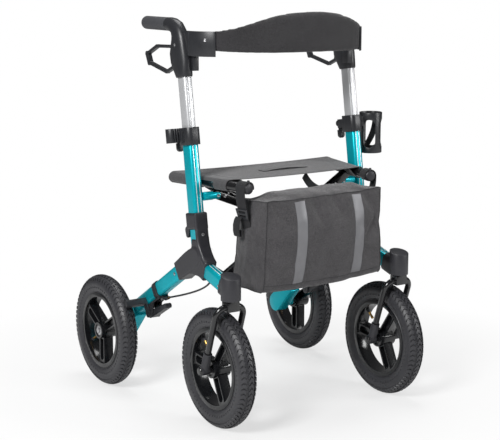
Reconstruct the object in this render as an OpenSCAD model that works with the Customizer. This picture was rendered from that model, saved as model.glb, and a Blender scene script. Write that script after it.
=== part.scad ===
// All terrain rollator: a side-folding walking frame on four large air-filled wheels, with a cloth
// seat, a bag, a bowed backrest, height-adjustable handles and hand brakes.
// Millimetres. +Z is up, -Y is the front and -X is the user's right. The origin is on the floor,
// under the middle of the frame. Each side is drawn for +X and mirrored for the user's right.

/* [Wheels] */
// Outer diameter of the tyres
wheel_d = 305; // [290:1:315]
// Width of the tyres
tyre_w = 52; // [48:1:56]
// Wall of the tyres
tyre_wall = 5; // [4:0.5:7]
// Diameter of the rims over their flanges
rim_d = 208; // [200:1:216]
// Width of the rims over their flanges
rim_w = 40; // [36:1:42]
// Wall of the rims
rim_wall = 4; // [3:0.5:5]
// Height of the rim flanges above the bead seat
flange_h = 8; // [6:0.5:9]
// Diameter of the wheel hubs
hub_d = 46; // [40:1:52]
// Width of the wheel hubs
hub_w = 48; // [44:1:50]
// Number of double spokes
spokes = 3; // [3:1:4]
// Width of a double spoke
spoke_w = 28; // [24:1:32]
// Depth of a double spoke along the axle
spoke_depth = 28; // [22:1:34]
// Diameter of the axles
axle_d = 10; // [8:0.5:12]
// Outer diameter of the wheel bearings
bearing_d = 26; // [24:1:28]
// Width of the wheel bearings
bearing_w = 8; // [6:1:9]

/* [Layout] */
// Distance from the front axle to the rear axle
wheelbase = 484; // [470:1:500]
// Distance between the middles of the rear tyres
rear_track = 649; // [640:1:665]
// Distance between the middles of the uprights
frame_gap = 512; // [506:1:518]
// Distance between the swivel axes of the front wheels
caster_gap = 526; // [520:1:536]
// Distance from a swivel axis back to the front axle
caster_trail = 59; // [54:1:64]
// Height of the node where upright and legs meet
node_z = 400; // [396:1:406]
// How far the node lies in front of the middle of the wheelbase
node_front = 149; // [145:1:153]
// Lean of the uprights, top to the rear, in degrees
lean = 8.7; // [8:0.1:9.5]

/* [Tubes] */
// Depth of the frame tube, front to back
tube_d = 40; // [38:0.5:42]
// Width of the frame tube, side to side
tube_w = 29; // [27:0.5:30]
// Corner radius of the frame tube
tube_r = 9; // [7:0.5:10]
// Wall of the frame tube
tube_wall = 2; // [1.5:0.25:3]
// Sliding clearance of the inner tube on each side
slide_gap = 0.4; // [0.3:0.05:0.6]
// Length of upright above the node's sleeve
upright_len = 206; // [196:1:212]
// Length of the inner tube
inner_len = 364; // [350:1:372]
// How far the inner tube starts above the sleeve's rim
inner_start = 36; // [34:1:44]

/* [Joints] */
// Running clearance of shafts in their holes
fit_gap = 0.05; // [0.02:0.01:0.1]
// Clearance between pieces that pass each other
pass_gap = 0.5; // [0.4:0.1:1]
// Length of the node's sleeve on the upright
sleeve_len = 62; // [58:1:66]
// Wall of the node casting round the tubes
cast_wall = 4.5; // [4:0.5:6]

/* [Casters] */
// Diameter of the swivel housing
housing_d = 50; // [46:1:54]
// Height of the housing's lower face
housing_z = 338; // [336:1:344]
// Height of the housing over the swivel axis
housing_h = 60; // [56:1:64]
// Slope of the housing's top, front edge down, in degrees
housing_slope = 14; // [8:1:18]
// Diameter of the swivel stem
stem_d = 16; // [14:1:18]
// Diameter of the fork tube
fork_d = 16; // [14:1:18]
// Distance from the wheel's middle to a fork leg
fork_half = 40; // [39:0.5:44]
// Bend radius of the fork tube
fork_bend = 27; // [22:1:30]
// How far the fork tube's top lies under the housing
fork_drop = 16; // [15:0.5:18]
// Length of the plastic fork feet
foot_len = 50; // [44:1:56]
// Diameter of the plastic fork feet
foot_d = 22; // [21:0.5:24]

/* [Height clamps] */
// Length of a clamp along the upright
clamp_len = 44; // [40:1:48]
// Wall of a clamp
clamp_wall = 6; // [5:0.5:7]
// Reach of the clamp's rear lug from the tube's middle
lug_reach = 52; // [48:1:56]
// Diameter of the clamp lever's pin
lever_pin_d = 5; // [4:0.5:6]
// Length of the clamp lever
clamp_lever_len = 40; // [36:1:46]

/* [Handles] */
// Height of the grips' axis above the floor
grip_z = 994; // [986:1:1000]
// Radius of the grips
grip_r = 17; // [16:0.5:18]
// Length of the grips
grip_len = 120; // [110:1:130]
// Radius of the spigot in the grips
spigot_r = 11; // [10:0.5:12]
// Thickness of the brake levers, side to side
lever_w = 12; // [10:0.5:13]
// Diameter of the brake lever pins
lever_bolt_d = 6; // [5:0.5:7]

/* [Fold] */
// Distance between the lower pivots of the cross arms
pivot_gap = 380; // [376:1:384]
// Height of the lower pivots
pivot_z = 350; // [348:1:354]
// Diameter of the lower pivot tubes
pivot_d = 22; // [20:0.5:24]
// Height of the cross arm section
arm_h = 30; // [26:1:32]
// Thickness of the cross arms
arm_t = 18; // [16:0.5:19]
// Gap between the two cross arms
arm_gap = 4; // [3:0.5:5]
// Diameter of the cross bolt
cross_bolt_d = 10; // [8:0.5:12]
// Height of the seat rails' axis
rail_z = 602; // [598:1:608]
// Diameter of the seat rails
rail_d = 25; // [22:0.5:26]
// Half distance between the rails at their front ends
rail_front_x = 190; // [186:1:193]
// Outward run of the rails per length to the rear
rail_splay = 0.21; // [0.19:0.01:0.22]
// Length of the rails, front to back
rail_run = 264; // [256:1:270]
// Diameter of the guide link pins
link_pin_d = 8; // [6:0.5:9]
// Distance of the guide link's place on the arm from the cross bolt
link_s = 116; // [112:1:120]

/* [Soft goods] */
// Thickness of the seat cloth
seat_t = 1.5; // [1.2:0.1:1.6]
// Sag of the seat cloth between its rails
seat_sag = 9; // [5:1:14]
// Width of the bag
bag_w = 366; // [350:1:372]
// Depth of the bag, front to back
bag_d = 140; // [120:1:144]
// Height of the bag at its sides
bag_h = 214; // [200:1:220]
// Sag of the bag's bottom
bag_sag = 22; // [10:1:26]
// Thickness of the backrest pad at its middle
pad_t = 20; // [14:1:26]
// Height of the backrest pad at its middle
pad_h = 106; // [98:1:114]
// Height of the backrest band at its ends
band_h = 60; // [56:1:64]
// Forward bow of the backrest
band_bow = 118; // [108:1:126]

/* [Cup holder] */
// Outer diameter of the cup holder
cup_d = 62; // [58:1:62]
// Height of the cup holder
cup_h = 110; // [100:1:120]
// Wall of the cup holder
cup_wall = 2.5; // [2:0.5:4]

/* [Hidden] */
$fn = 48;

teal = [0.0, 0.62, 0.68];
dark_grey = [0.27, 0.27, 0.29];
black = [0.13, 0.14, 0.15];
silver = [0.80, 0.81, 0.82];
steel = [0.70, 0.70, 0.72];
charcoal = [0.30, 0.29, 0.30];
rubber = [0.20, 0.20, 0.21];

wheel_r = wheel_d / 2;
frame_x = frame_gap / 2;
rear_y = wheelbase / 2;
front_y = -wheelbase / 2;
rear_x = rear_track / 2;
caster_x = caster_gap / 2;
caster_y = front_y - caster_trail;
node_y = -node_front;

// Mirror a left-hand piece to the user's right
module to_right() {
    mirror([1, 0, 0]) children();
}

// Rectangle with round corners, centred
module rounded(w, d, r) {
    square([w - 2 * r, d], center = true);
    square([w, d - 2 * r], center = true);
    for (sx = [-1, 1], sy = [-1, 1])
        translate([sx * (w / 2 - r), sy * (d / 2 - r)]) circle(r);
}

// Bar with half-round ends, centred, long along X
module stadium(len, w) {
    square([len - w, w], center = true);
    for (s = [-1, 1]) translate([s * (len - w) / 2, 0]) circle(d = w);
}

// Section of the frame tube, grown outwards on all sides
module tube_section(grow = 0) {
    rounded(tube_w + 2 * grow, tube_d + 2 * grow, tube_r + grow);
}

// Put local Z along the line from p to q, both given as [y, z] in the side frame's plane
module along(p, q, x = frame_x) {
    d = q - p;
    translate([x, p[0], p[1]]) rotate([-atan2(d[0], d[1]), 0, 0]) children();
}

// Closed skin over a row of rings with the same number of points. The ends of a sheet, whose rings
// run out along one face and back along the other, are closed by a row of small faces.
module skin(rings, sheet = false) {
    k = len(rings[0]);
    n = len(rings);
    sides = [for (i = [0:n - 2], j = [0:k - 1]) each let (
        a = i * k + j, b = i * k + (j + 1) % k, c = a + k, d = b + k) [[a, c, b], [b, c, d]]];
    low = sheet ? [for (j = [0:k / 2 - 2]) each [[j, j + 1, k - 1 - j], [j + 1, k - 2 - j, k - 1 - j]]]
        : [[for (j = [0:k - 1]) j]];
    high = [for (f = low) [for (j = [len(f) - 1:-1:0]) (n - 1) * k + f[j]]];
    polyhedron([for (r = rings) each r], concat(sides, low, high));
}

// Rounded power of a sine or cosine, for soft square sections
function soft(v, n) = sign(v) * pow(abs(v), 2 / n);

// The side frame's lines

function lean_point(h, back = 0) = [
    sleeve_top[0] + h * sin(lean) + back * cos(lean),
    sleeve_top[1] + h * cos(lean) - back * sin(lean)
];
sleeve_top_h = 130.5;
sleeve_top = [node_y + sleeve_top_h * sin(lean), node_z + sleeve_top_h * cos(lean)];
upright_low = -80;
caster_leg_z = housing_z + 18;
front_dir = [caster_y - node_y, caster_leg_z - node_z];
front_len = norm(front_dir);
rear_start = [node_y, node_z + 21];
rear_end = [rear_y - 37, wheel_r + 50];
rear_dir = rear_end - rear_start;
rear_len = norm(rear_dir);
rear_socket = 106;
rear_in = 56;
front_socket = 44;
front_in = 34;
front_leg_end = front_len - housing_d / 2 + 9;

// Put local axes on the upright: Z up the tube from the rim of the node's sleeve
module on_upright(h = 0) {
    translate([frame_x, sleeve_top[0], sleeve_top[1]]) rotate([-lean, 0, 0]) translate([0, 0, h]) children();
}

module on_rear_leg(s = 0) {
    along(rear_start, rear_end) translate([0, 0, s]) children();
}

module on_front_leg(s = 0) {
    along([node_y, node_z], [caster_y, caster_leg_z]) translate([0, 0, s]) children();
}

// Two shallow trim grooves run up the front of the tubes
groove_w = 2.2;
groove_t = 0.7;
groove_x = 5;

module front_grooves(depth, len) {
    for (s = [-1, 1])
        translate([s * groove_x - groove_w / 2, -depth / 2 - 1, -1]) cube([groove_w, groove_t + 1, len + 2]);
}

// Round bar that stands on the upright's inner side, forked at its end for a guide link
bracket_x = 203;
bracket_z = 570;
bracket_d = 22;
bracket_nose = 7;
link_t = 12;
link_d = 20;
arm_y_front = node_y + 5;
arm_y_rear = arm_y_front + arm_t + arm_gap;
link_y_left = arm_y_front + arm_t / 2 + 2.5 + link_t / 2;
link_y_right = arm_y_rear - arm_t / 2 - 2.5 - link_t / 2;

module upright(link_y) {
    len = upright_len - upright_low;
    color(teal) {
        on_upright(upright_low) difference() {
            linear_extrude(len) tube_section();
            translate([0, 0, -1]) linear_extrude(len + 2) tube_section(-tube_wall);
            front_grooves(tube_d, len);
        }
        translate([bracket_x, link_y, bracket_z]) difference() {
            translate([-bracket_nose, 0, 0]) rotate([0, 90, 0])
                cylinder(d = bracket_d, h = frame_x - tube_w / 2 - fit_gap - bracket_x + bracket_nose);
            translate([-link_d, -link_t / 2 - 0.3, -bracket_d])
                cube([1.5 * link_d + 2, link_t + 0.6, 2 * bracket_d]);
            rotate([90, 0, 0]) cylinder(d = link_pin_d + 2 * fit_gap, h = 2 * bracket_d, center = true);
        }
    }
}

// Node casting: a sleeve on the upright, a curved web and a rounded socket for the rear leg
web_t = tube_w + 5;
front_up = [front_dir[1], -front_dir[0]] / front_len;
rear_up = [-rear_dir[1], rear_dir[0]] / rear_len;
lug_w = 12;
lug_d = pivot_d + 14;
lug_side = 6;
lug_front_y = arm_y_front - arm_t / 2 - lug_side - lug_w;
lug_rear_y = arm_y_rear + arm_t / 2 + lug_side;
pivot_x = pivot_gap / 2;

function front_point(s, up) = [node_y, node_z] + s * front_dir / front_len + up * front_up;
function rear_point(s, up) = rear_start + s * rear_dir / rear_len + up * rear_up;

// Points of a hollow curve from p to q that bulges towards the corner c
function sweep_in(p, q, c, steps = 10) = [for (i = [0:steps]) let (t = i / steps)
    (1 - t) * (1 - t) * p + 2 * t * (1 - t) * c + t * t * q];

module y_web() {
    half = tube_d / 2 + cast_wall;
    top_front = lean_point(-sleeve_len, -half);
    top_rear = lean_point(-sleeve_len, half - 5);
    nose_top = front_point(front_socket, half - 1);
    nose_low = front_point(front_socket, 1 - half);
    heel_low = rear_point(rear_socket - 12, 1 - half);
    heel_top = rear_point(58, half - 2);
    translate([frame_x - web_t / 2, 0, 0]) rotate([90, 0, 90]) linear_extrude(web_t) polygon(concat(
        sweep_in(top_front, nose_top, lean_point(-sleeve_len - 58, -half)),
        sweep_in(nose_low, heel_low, front_point(-12, 4 - half)),
        sweep_in(heel_top, top_rear, lean_point(-sleeve_len - 42, half - 9))));
}

// Ears on the inner side that carry a cross arm's lower tube
module pivot_lugs() {
    for (y = [lug_front_y, lug_rear_y])
        translate([0, y + lug_w, 0]) rotate([90, 0, 0]) linear_extrude(lug_w) difference() {
            union() {
                translate([pivot_x, pivot_z]) circle(d = lug_d);
                polygon([[pivot_x - 4, pivot_z + lug_d / 2 - 0.5], [frame_x - web_t / 2 + 2, node_z + 6],
                    [frame_x - web_t / 2 + 2, node_z - 28], [pivot_x + lug_d / 2 - 5, pivot_z - 10]]);
            }
            translate([pivot_x, pivot_z]) circle(d = pivot_d + 2 * fit_gap);
        }
}

window_len = 34;

module y_joint() {
    color(dark_grey) difference() {
        union() {
            on_upright(-sleeve_len - 26) linear_extrude(sleeve_len + 26) tube_section(cast_wall);
            y_web();
            on_rear_leg() rotate([90, 0, 90]) translate([0, 0, -tube_w / 2 - cast_wall])
                linear_extrude(tube_w + 2 * cast_wall) union() {
                    circle(d = tube_d + 2 * cast_wall);
                    translate([-tube_d / 2 - cast_wall, 0]) square([tube_d + 2 * cast_wall, rear_socket]);
                }
            pivot_lugs();
        }
        on_upright(upright_low) linear_extrude(200) tube_section();
        on_rear_leg(rear_in) linear_extrude(200) tube_section();
        on_front_leg(front_in) linear_extrude(200) tube_section();
        on_upright(-sleeve_len - 12) translate([tube_w / 2 - 2, -8, 0]) rotate([0, 90, 0])
            linear_extrude(20) translate([-window_len / 2, tube_d / 2 + 8])
                rounded(window_len, tube_d + 24, 10);
    }
}

module rear_leg() {
    len = rear_len - rear_in;
    color(teal) on_rear_leg(rear_in) difference() {
        linear_extrude(len) tube_section();
        translate([0, 0, -1]) linear_extrude(len + 2) tube_section(-tube_wall);
    }
}

module front_leg() {
    len = front_leg_end - front_in;
    color(teal) on_front_leg(front_in) difference() {
        linear_extrude(len) tube_section();
        translate([0, 0, -1]) linear_extrude(len + 2) tube_section(-tube_wall);
    }
}

// Swivel housing with a slanted top and a collar on the front leg
stem_top = housing_z + 40;
collar_len = 16;

module caster_housing() {
    color(dark_grey) difference() {
        union() {
            translate([caster_x, caster_y, housing_z]) cylinder(d = housing_d, h = housing_h + 20);
            on_front_leg(front_len - housing_d / 2 - collar_len)
                linear_extrude(housing_d / 2 + collar_len) tube_section(cast_wall);
        }
        translate([caster_x, caster_y, housing_z + housing_h]) rotate([housing_slope, 0, 0])
            translate([-housing_d, -housing_d, 0]) cube(2 * housing_d);
        translate([caster_x, caster_y, housing_z - 30]) cylinder(d = housing_d + 30, h = 30);
        translate([caster_x, caster_y, housing_z - 1])
            cylinder(d = stem_d + 2 * fit_gap, h = stem_top - housing_z + 1 + pass_gap);
        on_front_leg(front_in) linear_extrude(front_leg_end - front_in) tube_section();
    }
}

// Clamp collar with a rear lug for its lever, and an accessory clip on the user's right
clamp_h = upright_len + 8 - clamp_len;
lug_h = 24;
lug_low = clamp_h + 12;
lug_half = 10;
lug_gap = 5.3;
lug_pin_h = lug_low + 13;
clip_w = 28;
clip_len = 22;
clip_h = 36;
clamp_inner = 4;

module clamp_base() {
    difference() {
        union() {
            on_upright(clamp_h) linear_extrude(clamp_len) tube_section(clamp_wall);
            on_upright(lug_low) translate([-lug_half, tube_d / 2 + 1, 0])
                cube([2 * lug_half, lug_reach - tube_d / 2 - 1, lug_h]);
            on_upright(lug_pin_h) translate([-lug_half, lug_reach, 0]) rotate([0, 90, 0])
                cylinder(d = 16, h = 2 * lug_half);
            children();
        }
        on_upright(clamp_h - 1) linear_extrude(upright_len - clamp_h + 1) tube_section(fit_gap);
        on_upright(clamp_h) linear_extrude(clamp_len + 1) tube_section(-tube_wall);
        on_upright(clamp_h - 1) translate([-tube_w / 2 - clamp_inner - 20, -tube_d, 0])
            cube([20, 2 * tube_d, clamp_len + 2]);
        on_upright(lug_low - 10) translate([-lug_gap, tube_d / 2 + clamp_wall + 2, 0])
            cube([2 * lug_gap, lug_reach, lug_h + 20]);
        on_upright(lug_pin_h) translate([-lug_half - 1, lug_reach, 0]) rotate([0, 90, 0])
            cylinder(d = lever_pin_d + 2 * fit_gap, h = 2 * lug_half + 2);
    }
}

// Ribbed accessory clip, standing out to the side behind the clamp
module accessory_clip() {
    on_upright(clamp_h + clamp_len - clip_h) translate([lug_half, tube_d / 2 + 2, 0]) difference() {
        linear_extrude(clip_h) union() {
            square([clip_len, clip_w]);
            translate([clip_len, clip_w / 2]) circle(d = clip_w);
        }
        for (i = [0:2], side = [0, clip_w]) translate([7 + 7 * i, side, -1]) cylinder(d = 4, h = clip_h + 2);
    }
}

module left_height_clamp() {
    color(black) clamp_base();
}

module right_height_clamp() {
    color(black) to_right() difference() {
        clamp_base() accessory_clip();
        on_upright(clamp_h + clamp_len / 2) translate([tube_w / 2 + clamp_wall - 3, -2, 0]) rotate([0, 90, 0])
            linear_extrude(10) stadium(24, 10);
    }
}

// Teardrop cam lever, hanging behind the clamp on its cross pin
module clamp_lever() {
    color(black) on_upright(lug_pin_h) translate([0, lug_reach, 0]) {
        translate([-lug_half, 0, 0]) rotate([0, 90, 0]) cylinder(d = lever_pin_d, h = 2 * lug_half);
        translate([-lug_gap + 0.4, 0, 0]) rotate([0, 90, 0]) linear_extrude(2 * lug_gap - 0.8) union() {
            circle(d = 14);
            translate([0, -5]) square([clamp_lever_len - 12, 10]);
        }
        difference() {
            translate([0, 5, -clamp_lever_len + 9]) rotate([90, 0, 0]) linear_extrude(10) union() {
                circle(d = 18);
                translate([-9, 0]) square([18, 13]);
            }
            translate([0, 16, -clamp_lever_len + 9]) sphere(d = 26);
        }
    }
}

// Cup holder with four open sides, hung on the left clamp's outer face
cup_x = frame_x + 63;
cup_y = lean_point(clamp_h)[0] + 2;
cup_low = lean_point(clamp_h)[1] - 61;

module cup_holder() {
    color(black) difference() {
        union() {
            translate([cup_x, cup_y, cup_low]) cylinder(d = cup_d, h = cup_h);
            translate([frame_x + tube_w / 2 + clamp_wall, cup_y - 9, cup_low + cup_h - 36])
                cube([cup_x - frame_x - tube_w / 2 - clamp_wall, 18, 26]);
        }
        translate([cup_x, cup_y, cup_low + cup_wall]) cylinder(d = cup_d - 2 * cup_wall, h = cup_h);
        translate([cup_x, cup_y, cup_low - 1]) cylinder(d = cup_d / 2, h = cup_wall + 2);
        for (a = [45, 135]) translate([cup_x, cup_y, cup_low + cup_h / 2 - 2])
            rotate([0, 0, a]) rotate([90, 0, 0])
            translate([0, 0, -cup_d]) linear_extrude(2 * cup_d) rotate(90) stadium(cup_h - 34, 32);
    }
}

// Rear axle block on the leg's lower end, and the axle with its two bearings
block_w = tube_w + 6;
axle_in = frame_x - block_w / 2 + 4;
hub_inner_x = rear_x - hub_w / 2;
hub_outer_x = rear_x + hub_w / 2;
boss_d = 34;

module axle_block() {
    color(dark_grey) difference() {
        union() {
            translate([frame_x - block_w / 2, 0, 0]) rotate([90, 0, 90]) linear_extrude(block_w) union() {
                translate([rear_y, wheel_r]) circle(d = 52);
                polygon([rear_point(rear_len - 34, tube_d / 2 + 4), [rear_y + 20, wheel_r + 16],
                    [rear_y - 14, wheel_r - 22], rear_point(rear_len - 34, -tube_d / 2 - 4)]);
            }
            translate([frame_x, rear_y, wheel_r]) rotate([0, 90, 0])
                cylinder(d = boss_d, h = hub_inner_x - frame_x - 3);
        }
        on_rear_leg(rear_in) linear_extrude(rear_len - rear_in) tube_section();
        translate([axle_in, rear_y, wheel_r]) rotate([0, 90, 0]) cylinder(d = axle_d, h = 200);
    }
}

spacer_d = 18;

// Two bearings, one at each end of a hub whose middle is at the origin, on the X axis
module bearing_pair() {
    for (s = [-1, 1]) translate([s * (hub_w / 2 - 6) - bearing_w / 2, 0, 0]) rotate([0, 90, 0])
        cylinder(d = bearing_d, h = bearing_w);
}

module rear_axle() {
    color(steel) {
        translate([axle_in, rear_y, wheel_r]) rotate([0, 90, 0])
            cylinder(d = axle_d, h = hub_outer_x - axle_in - 3);
        translate([hub_outer_x - 3.6, rear_y, wheel_r]) rotate([0, 90, 0]) cylinder(d = 20, h = 1.6);
        translate([hub_outer_x - 2, rear_y, wheel_r]) rotate([0, 90, 0]) cylinder(d = 15, h = 4, $fn = 6);
        translate([rear_x, rear_y, wheel_r]) bearing_pair();
        translate([hub_inner_x - 3, rear_y, wheel_r]) rotate([0, 90, 0]) cylinder(d = spacer_d, h = 5);
    }
}

// Wheels, drawn round the Z axis and laid on the axle

bead_r = rim_d / 2 - flange_h;
rim_inner_r = bead_r - rim_wall;
flange_t = 3;

module wheel_at(x, y, turn) {
    translate([x, y, wheel_r]) rotate([0, 90, 0]) rotate([0, 0, 90 + turn]) children();
}

tread_groove = 2;

module tyre() {
    round_r = tyre_w / 2;
    round_at = wheel_r - round_r;
    bead_out = rim_w / 2 - flange_t;
    color(rubber) rotate_extrude() difference() {
        union() {
            translate([round_at, 0]) circle(round_r);
            translate([bead_r, -bead_out]) square([round_r * 0.6, 2 * bead_out]);
        }
        translate([round_at, 0]) circle(round_r - tyre_wall);
        translate([bead_r - 1, tyre_wall - bead_out]) square([round_r, 2 * (bead_out - tyre_wall)]);
        for (s = [-1, 0, 1]) translate([wheel_r - tread_groove - 0.5 * abs(s), s * 7 - 1.2])
            square([tread_groove + 1, 2.4]);
    }
}

module spoke() {
    start = hub_d / 2 - 3;
    tip = bead_r - 1;
    pocket = spoke_w - 10;
    web = 4;
    difference() {
        translate([start, -spoke_w / 2, -spoke_depth / 2]) cube([tip - start, spoke_w, spoke_depth]);
        for (s = [-1, 1]) translate([0, 0, s > 0 ? web / 2 : -spoke_depth])
            linear_extrude(spoke_depth - web / 2) union() {
            translate([hub_d / 2 + 2, -pocket / 2])
                square([rim_inner_r - 7 - pocket / 2 - hub_d / 2 - 2, pocket]);
            translate([rim_inner_r - 7 - pocket / 2, 0]) circle(d = pocket);
        }
    }
}

module rim() {
    color(black) difference() {
        union() {
            rotate_extrude() polygon([
                [rim_inner_r, -rim_w / 2], [rim_d / 2, -rim_w / 2], [rim_d / 2, flange_t - rim_w / 2],
                [bead_r, flange_t - rim_w / 2], [bead_r, rim_w / 2 - flange_t],
                [rim_d / 2, rim_w / 2 - flange_t], [rim_d / 2, rim_w / 2], [rim_inner_r, rim_w / 2]]);
            for (i = [0:spokes - 1]) rotate([0, 0, i * 360 / spokes]) spoke();
            translate([0, 0, -hub_w / 2]) cylinder(d = hub_d, h = hub_w);
        }
        translate([0, 0, -hub_w]) cylinder(d = bearing_d - 5, h = 2 * hub_w);
        for (s = [-1, 1]) translate([0, 0, s > 0 ? hub_w / 2 - 10 : -hub_w])
            cylinder(d = bearing_d + 2 * fit_gap, h = hub_w / 2 + 10);
        for (s = [-1, 1]) translate([0, 0, s * hub_w / 2 - 2]) cylinder(d = bearing_d + 8, h = 4);
    }
}

// Swivel fork: stem, crown and a bent tube, with plastic feet on the tube's ends
crown_z = housing_z - fork_drop;
fork_rise = [caster_trail, crown_z - wheel_r];
fork_h = norm(fork_rise);
fork_lean = atan2(fork_rise[0], fork_rise[1]);
leg_low = 15;

module on_fork() {
    translate([caster_x, front_y, wheel_r]) rotate([fork_lean, 0, 0]) children();
}

module fork() {
    color(black) {
        translate([caster_x, caster_y, crown_z]) cylinder(d = stem_d, h = stem_top - crown_z);
        translate([caster_x, caster_y, housing_z - 4]) cylinder(d = housing_d * 0.62, h = 4 - 0.3);
        translate([caster_x, caster_y, crown_z]) translate([-17, -14, -11]) cube([34, 28, 24]);
        on_fork() {
            for (s = [0, 1]) mirror([s, 0, 0]) {
                translate([fork_half, 0, leg_low]) cylinder(d = fork_d, h = fork_h - fork_bend - leg_low);
                translate([fork_half - fork_bend, 0, fork_h - fork_bend]) rotate([90, 0, 0])
                    rotate_extrude(angle = 90) translate([fork_bend, 0]) circle(d = fork_d);
            }
            translate([fork_bend - fork_half, 0, fork_h]) rotate([0, 90, 0])
                cylinder(d = fork_d, h = 2 * (fork_half - fork_bend));
        }
    }
}

module fork_feet() {
    color(dark_grey) on_fork() for (s = [0, 1]) mirror([s, 0, 0]) difference() {
        union() {
            translate([fork_half, 0, 0]) cylinder(d = foot_d, h = foot_len);
            translate([fork_half - 11, 0, 0]) rotate([0, 90, 0]) cylinder(d = foot_d + 2, h = 24);
        }
        translate([fork_half, 0, leg_low]) cylinder(d = fork_d, h = foot_len);
        rotate([0, 90, 0]) cylinder(d = axle_d, h = 2 * fork_half);
    }
}

module front_axle() {
    reach = fork_half + 13;
    color(steel) translate([caster_x, front_y, wheel_r]) {
        translate([-reach, 0, 0]) rotate([0, 90, 0]) cylinder(d = axle_d, h = 2 * reach);
        for (s = [0, 1]) mirror([s, 0, 0]) {
            translate([reach, 0, 0]) rotate([0, 90, 0]) cylinder(d1 = foot_d, d2 = foot_d - 5, h = 4);
            translate([hub_w / 2 - 1.7, 0, 0]) rotate([0, 90, 0])
                cylinder(d = spacer_d, h = fork_half - 11 - hub_w / 2 + 1.7);
        }
        bearing_pair();
    }
}

// Rear brake: a bracket strapped under the leg, and a lever arm that turns a pad bar onto the tyre
brake_pivot = [rear_y - 150, wheel_r + 67.5];
pad_bar = [14, 18];
pad_gap = 4.5;
pad_reach = wheel_r + pad_gap + pad_bar[0] / 2;
pad_turn = 143;
pad_at = [rear_y + pad_reach * cos(pad_turn), wheel_r + pad_reach * sin(pad_turn)];
cable_eye = brake_pivot + [-72, 36];
adjuster_at = cable_eye + [2, 20];
adjuster_turn = 22;
cheek_in = 10;
cheek_t = 4;
strap_back = 180;
strap_s = rear_len - strap_back;
strap_len = 20;
plate_t = 6;
plate_len = 92;
brake_pin_d = 8;

module brake_bracket() {
    leg_side = tube_d / 2;
    color(black) {
        on_rear_leg(strap_s) difference() {
            linear_extrude(strap_len) tube_section(3);
            translate([0, 0, -1]) linear_extrude(strap_len + 2) tube_section(fit_gap);
        }
        on_rear_leg(strap_s) translate([-tube_w / 2, leg_side + fit_gap, 0])
            cube([tube_w, plate_t, plate_len]);
        for (s = [0, 1]) translate([frame_x, 0, 0]) mirror([s, 0, 0])
            translate([cheek_in, 0, 0]) rotate([90, 0, 90])
            linear_extrude(cheek_t) difference() {
                union() {
                    translate(brake_pivot) circle(d = 22);
                    polygon([rear_point(strap_s + 34, -leg_side - 1), rear_point(strap_s + 84, -leg_side - 1),
                        brake_pivot + [11, 0], brake_pivot + [-9, -6]]);
                }
                translate(brake_pivot) circle(d = brake_pin_d + 2 * fit_gap);
            }
        translate([frame_x, adjuster_at[0], adjuster_at[1]])
            rotate([-90 - adjuster_turn, 0, 0]) difference() {
            cylinder(d = 9, h = 20, center = true);
            cylinder(d = 4, h = 22, center = true);
        }
        translate([frame_x - 4, 0, 0]) rotate([90, 0, 90]) linear_extrude(8) polygon([
            adjuster_at + [0, -3], adjuster_at + [2, 3], rear_point(strap_s + 6, -leg_side - fit_gap - 0.5),
            rear_point(strap_s + 6, -leg_side - plate_t)]);
    }
}

module brake_arm() {
    arm_half = cheek_in - 0.5;
    color(black) {
        translate([frame_x - arm_half, 0, 0]) rotate([90, 0, 90]) linear_extrude(2 * arm_half) union() {
            translate(brake_pivot) circle(d = 20);
            translate(cable_eye) circle(d = 13);
            polygon([brake_pivot + [-4, -9.5], brake_pivot + [3, 9.5],
                cable_eye + [2, 6.4], cable_eye + [-5, -4]]);
        }
        translate([frame_x - cheek_in - cheek_t, brake_pivot[0], brake_pivot[1]]) rotate([0, 90, 0])
            cylinder(d = brake_pin_d, h = 2 * (cheek_in + cheek_t));
        translate([frame_x + cheek_in + cheek_t + 0.5, 0, 0]) rotate([90, 0, 90]) linear_extrude(6) union() {
            translate(brake_pivot) circle(d = 18);
            polygon([brake_pivot + [-8, 4], brake_pivot + [8.9, 1], pad_at + [7, -4], pad_at + [-6, 6]]);
        }
        translate([frame_x + cheek_in + cheek_t, brake_pivot[0], brake_pivot[1]]) rotate([0, 90, 0])
            cylinder(d = brake_pin_d, h = 3);
        translate([frame_x + cheek_in + cheek_t + 0.5, pad_at[0], pad_at[1]]) rotate([pad_turn + 90, 0, 0])
            translate([0, -pad_bar[1] / 2, -pad_bar[0] / 2])
            cube([rear_x + 8 - frame_x - cheek_in - cheek_t, pad_bar[1], pad_bar[0]]);
    }
}

// Brake cable: it leaves the node casting, hangs in a slack line and ends in the brake's adjuster
cable_d = 5;
cable_sides = 8;
cable_steps = 10;
cable_from = [frame_x - 8, node_y - 35, node_z - 36];
cable_to = [frame_x, adjuster_at[0] - 10, adjuster_at[1] + 4];
cable_knots = [cable_from, cable_from + [0, 8, -26], cable_to + [-1, -92, 27], cable_to];

// A point of the slack line between its two ends
function cable_at(t) = pow(1 - t, 3) * cable_knots[0] + 3 * t * pow(1 - t, 2) * cable_knots[1]
    + 3 * t * t * (1 - t) * cable_knots[2] + pow(t, 3) * cable_knots[3];
cable_route = [for (i = [0:cable_steps]) cable_at(i / cable_steps)];

function route_dir(r, i) = let (v = r[min(i + 1, len(r) - 1)] - r[max(i - 1, 0)]) v / norm(v);

module brake_cable() {
    rings = [for (i = [0:len(cable_route) - 1]) let (
        t = route_dir(cable_route, i), u = cross([1, 0, 0], t) / norm(cross([1, 0, 0], t)), w = cross(t, u))
        [for (j = [0:cable_sides - 1]) let (a = 360 * j / cable_sides)
            cable_route[i] + cable_d / 2 * (cos(a) * w - sin(a) * u)]];
    color(black) skin(rings);
}

// Handle: silver inner tube, moulded housing, grip and backrest bracket

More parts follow.
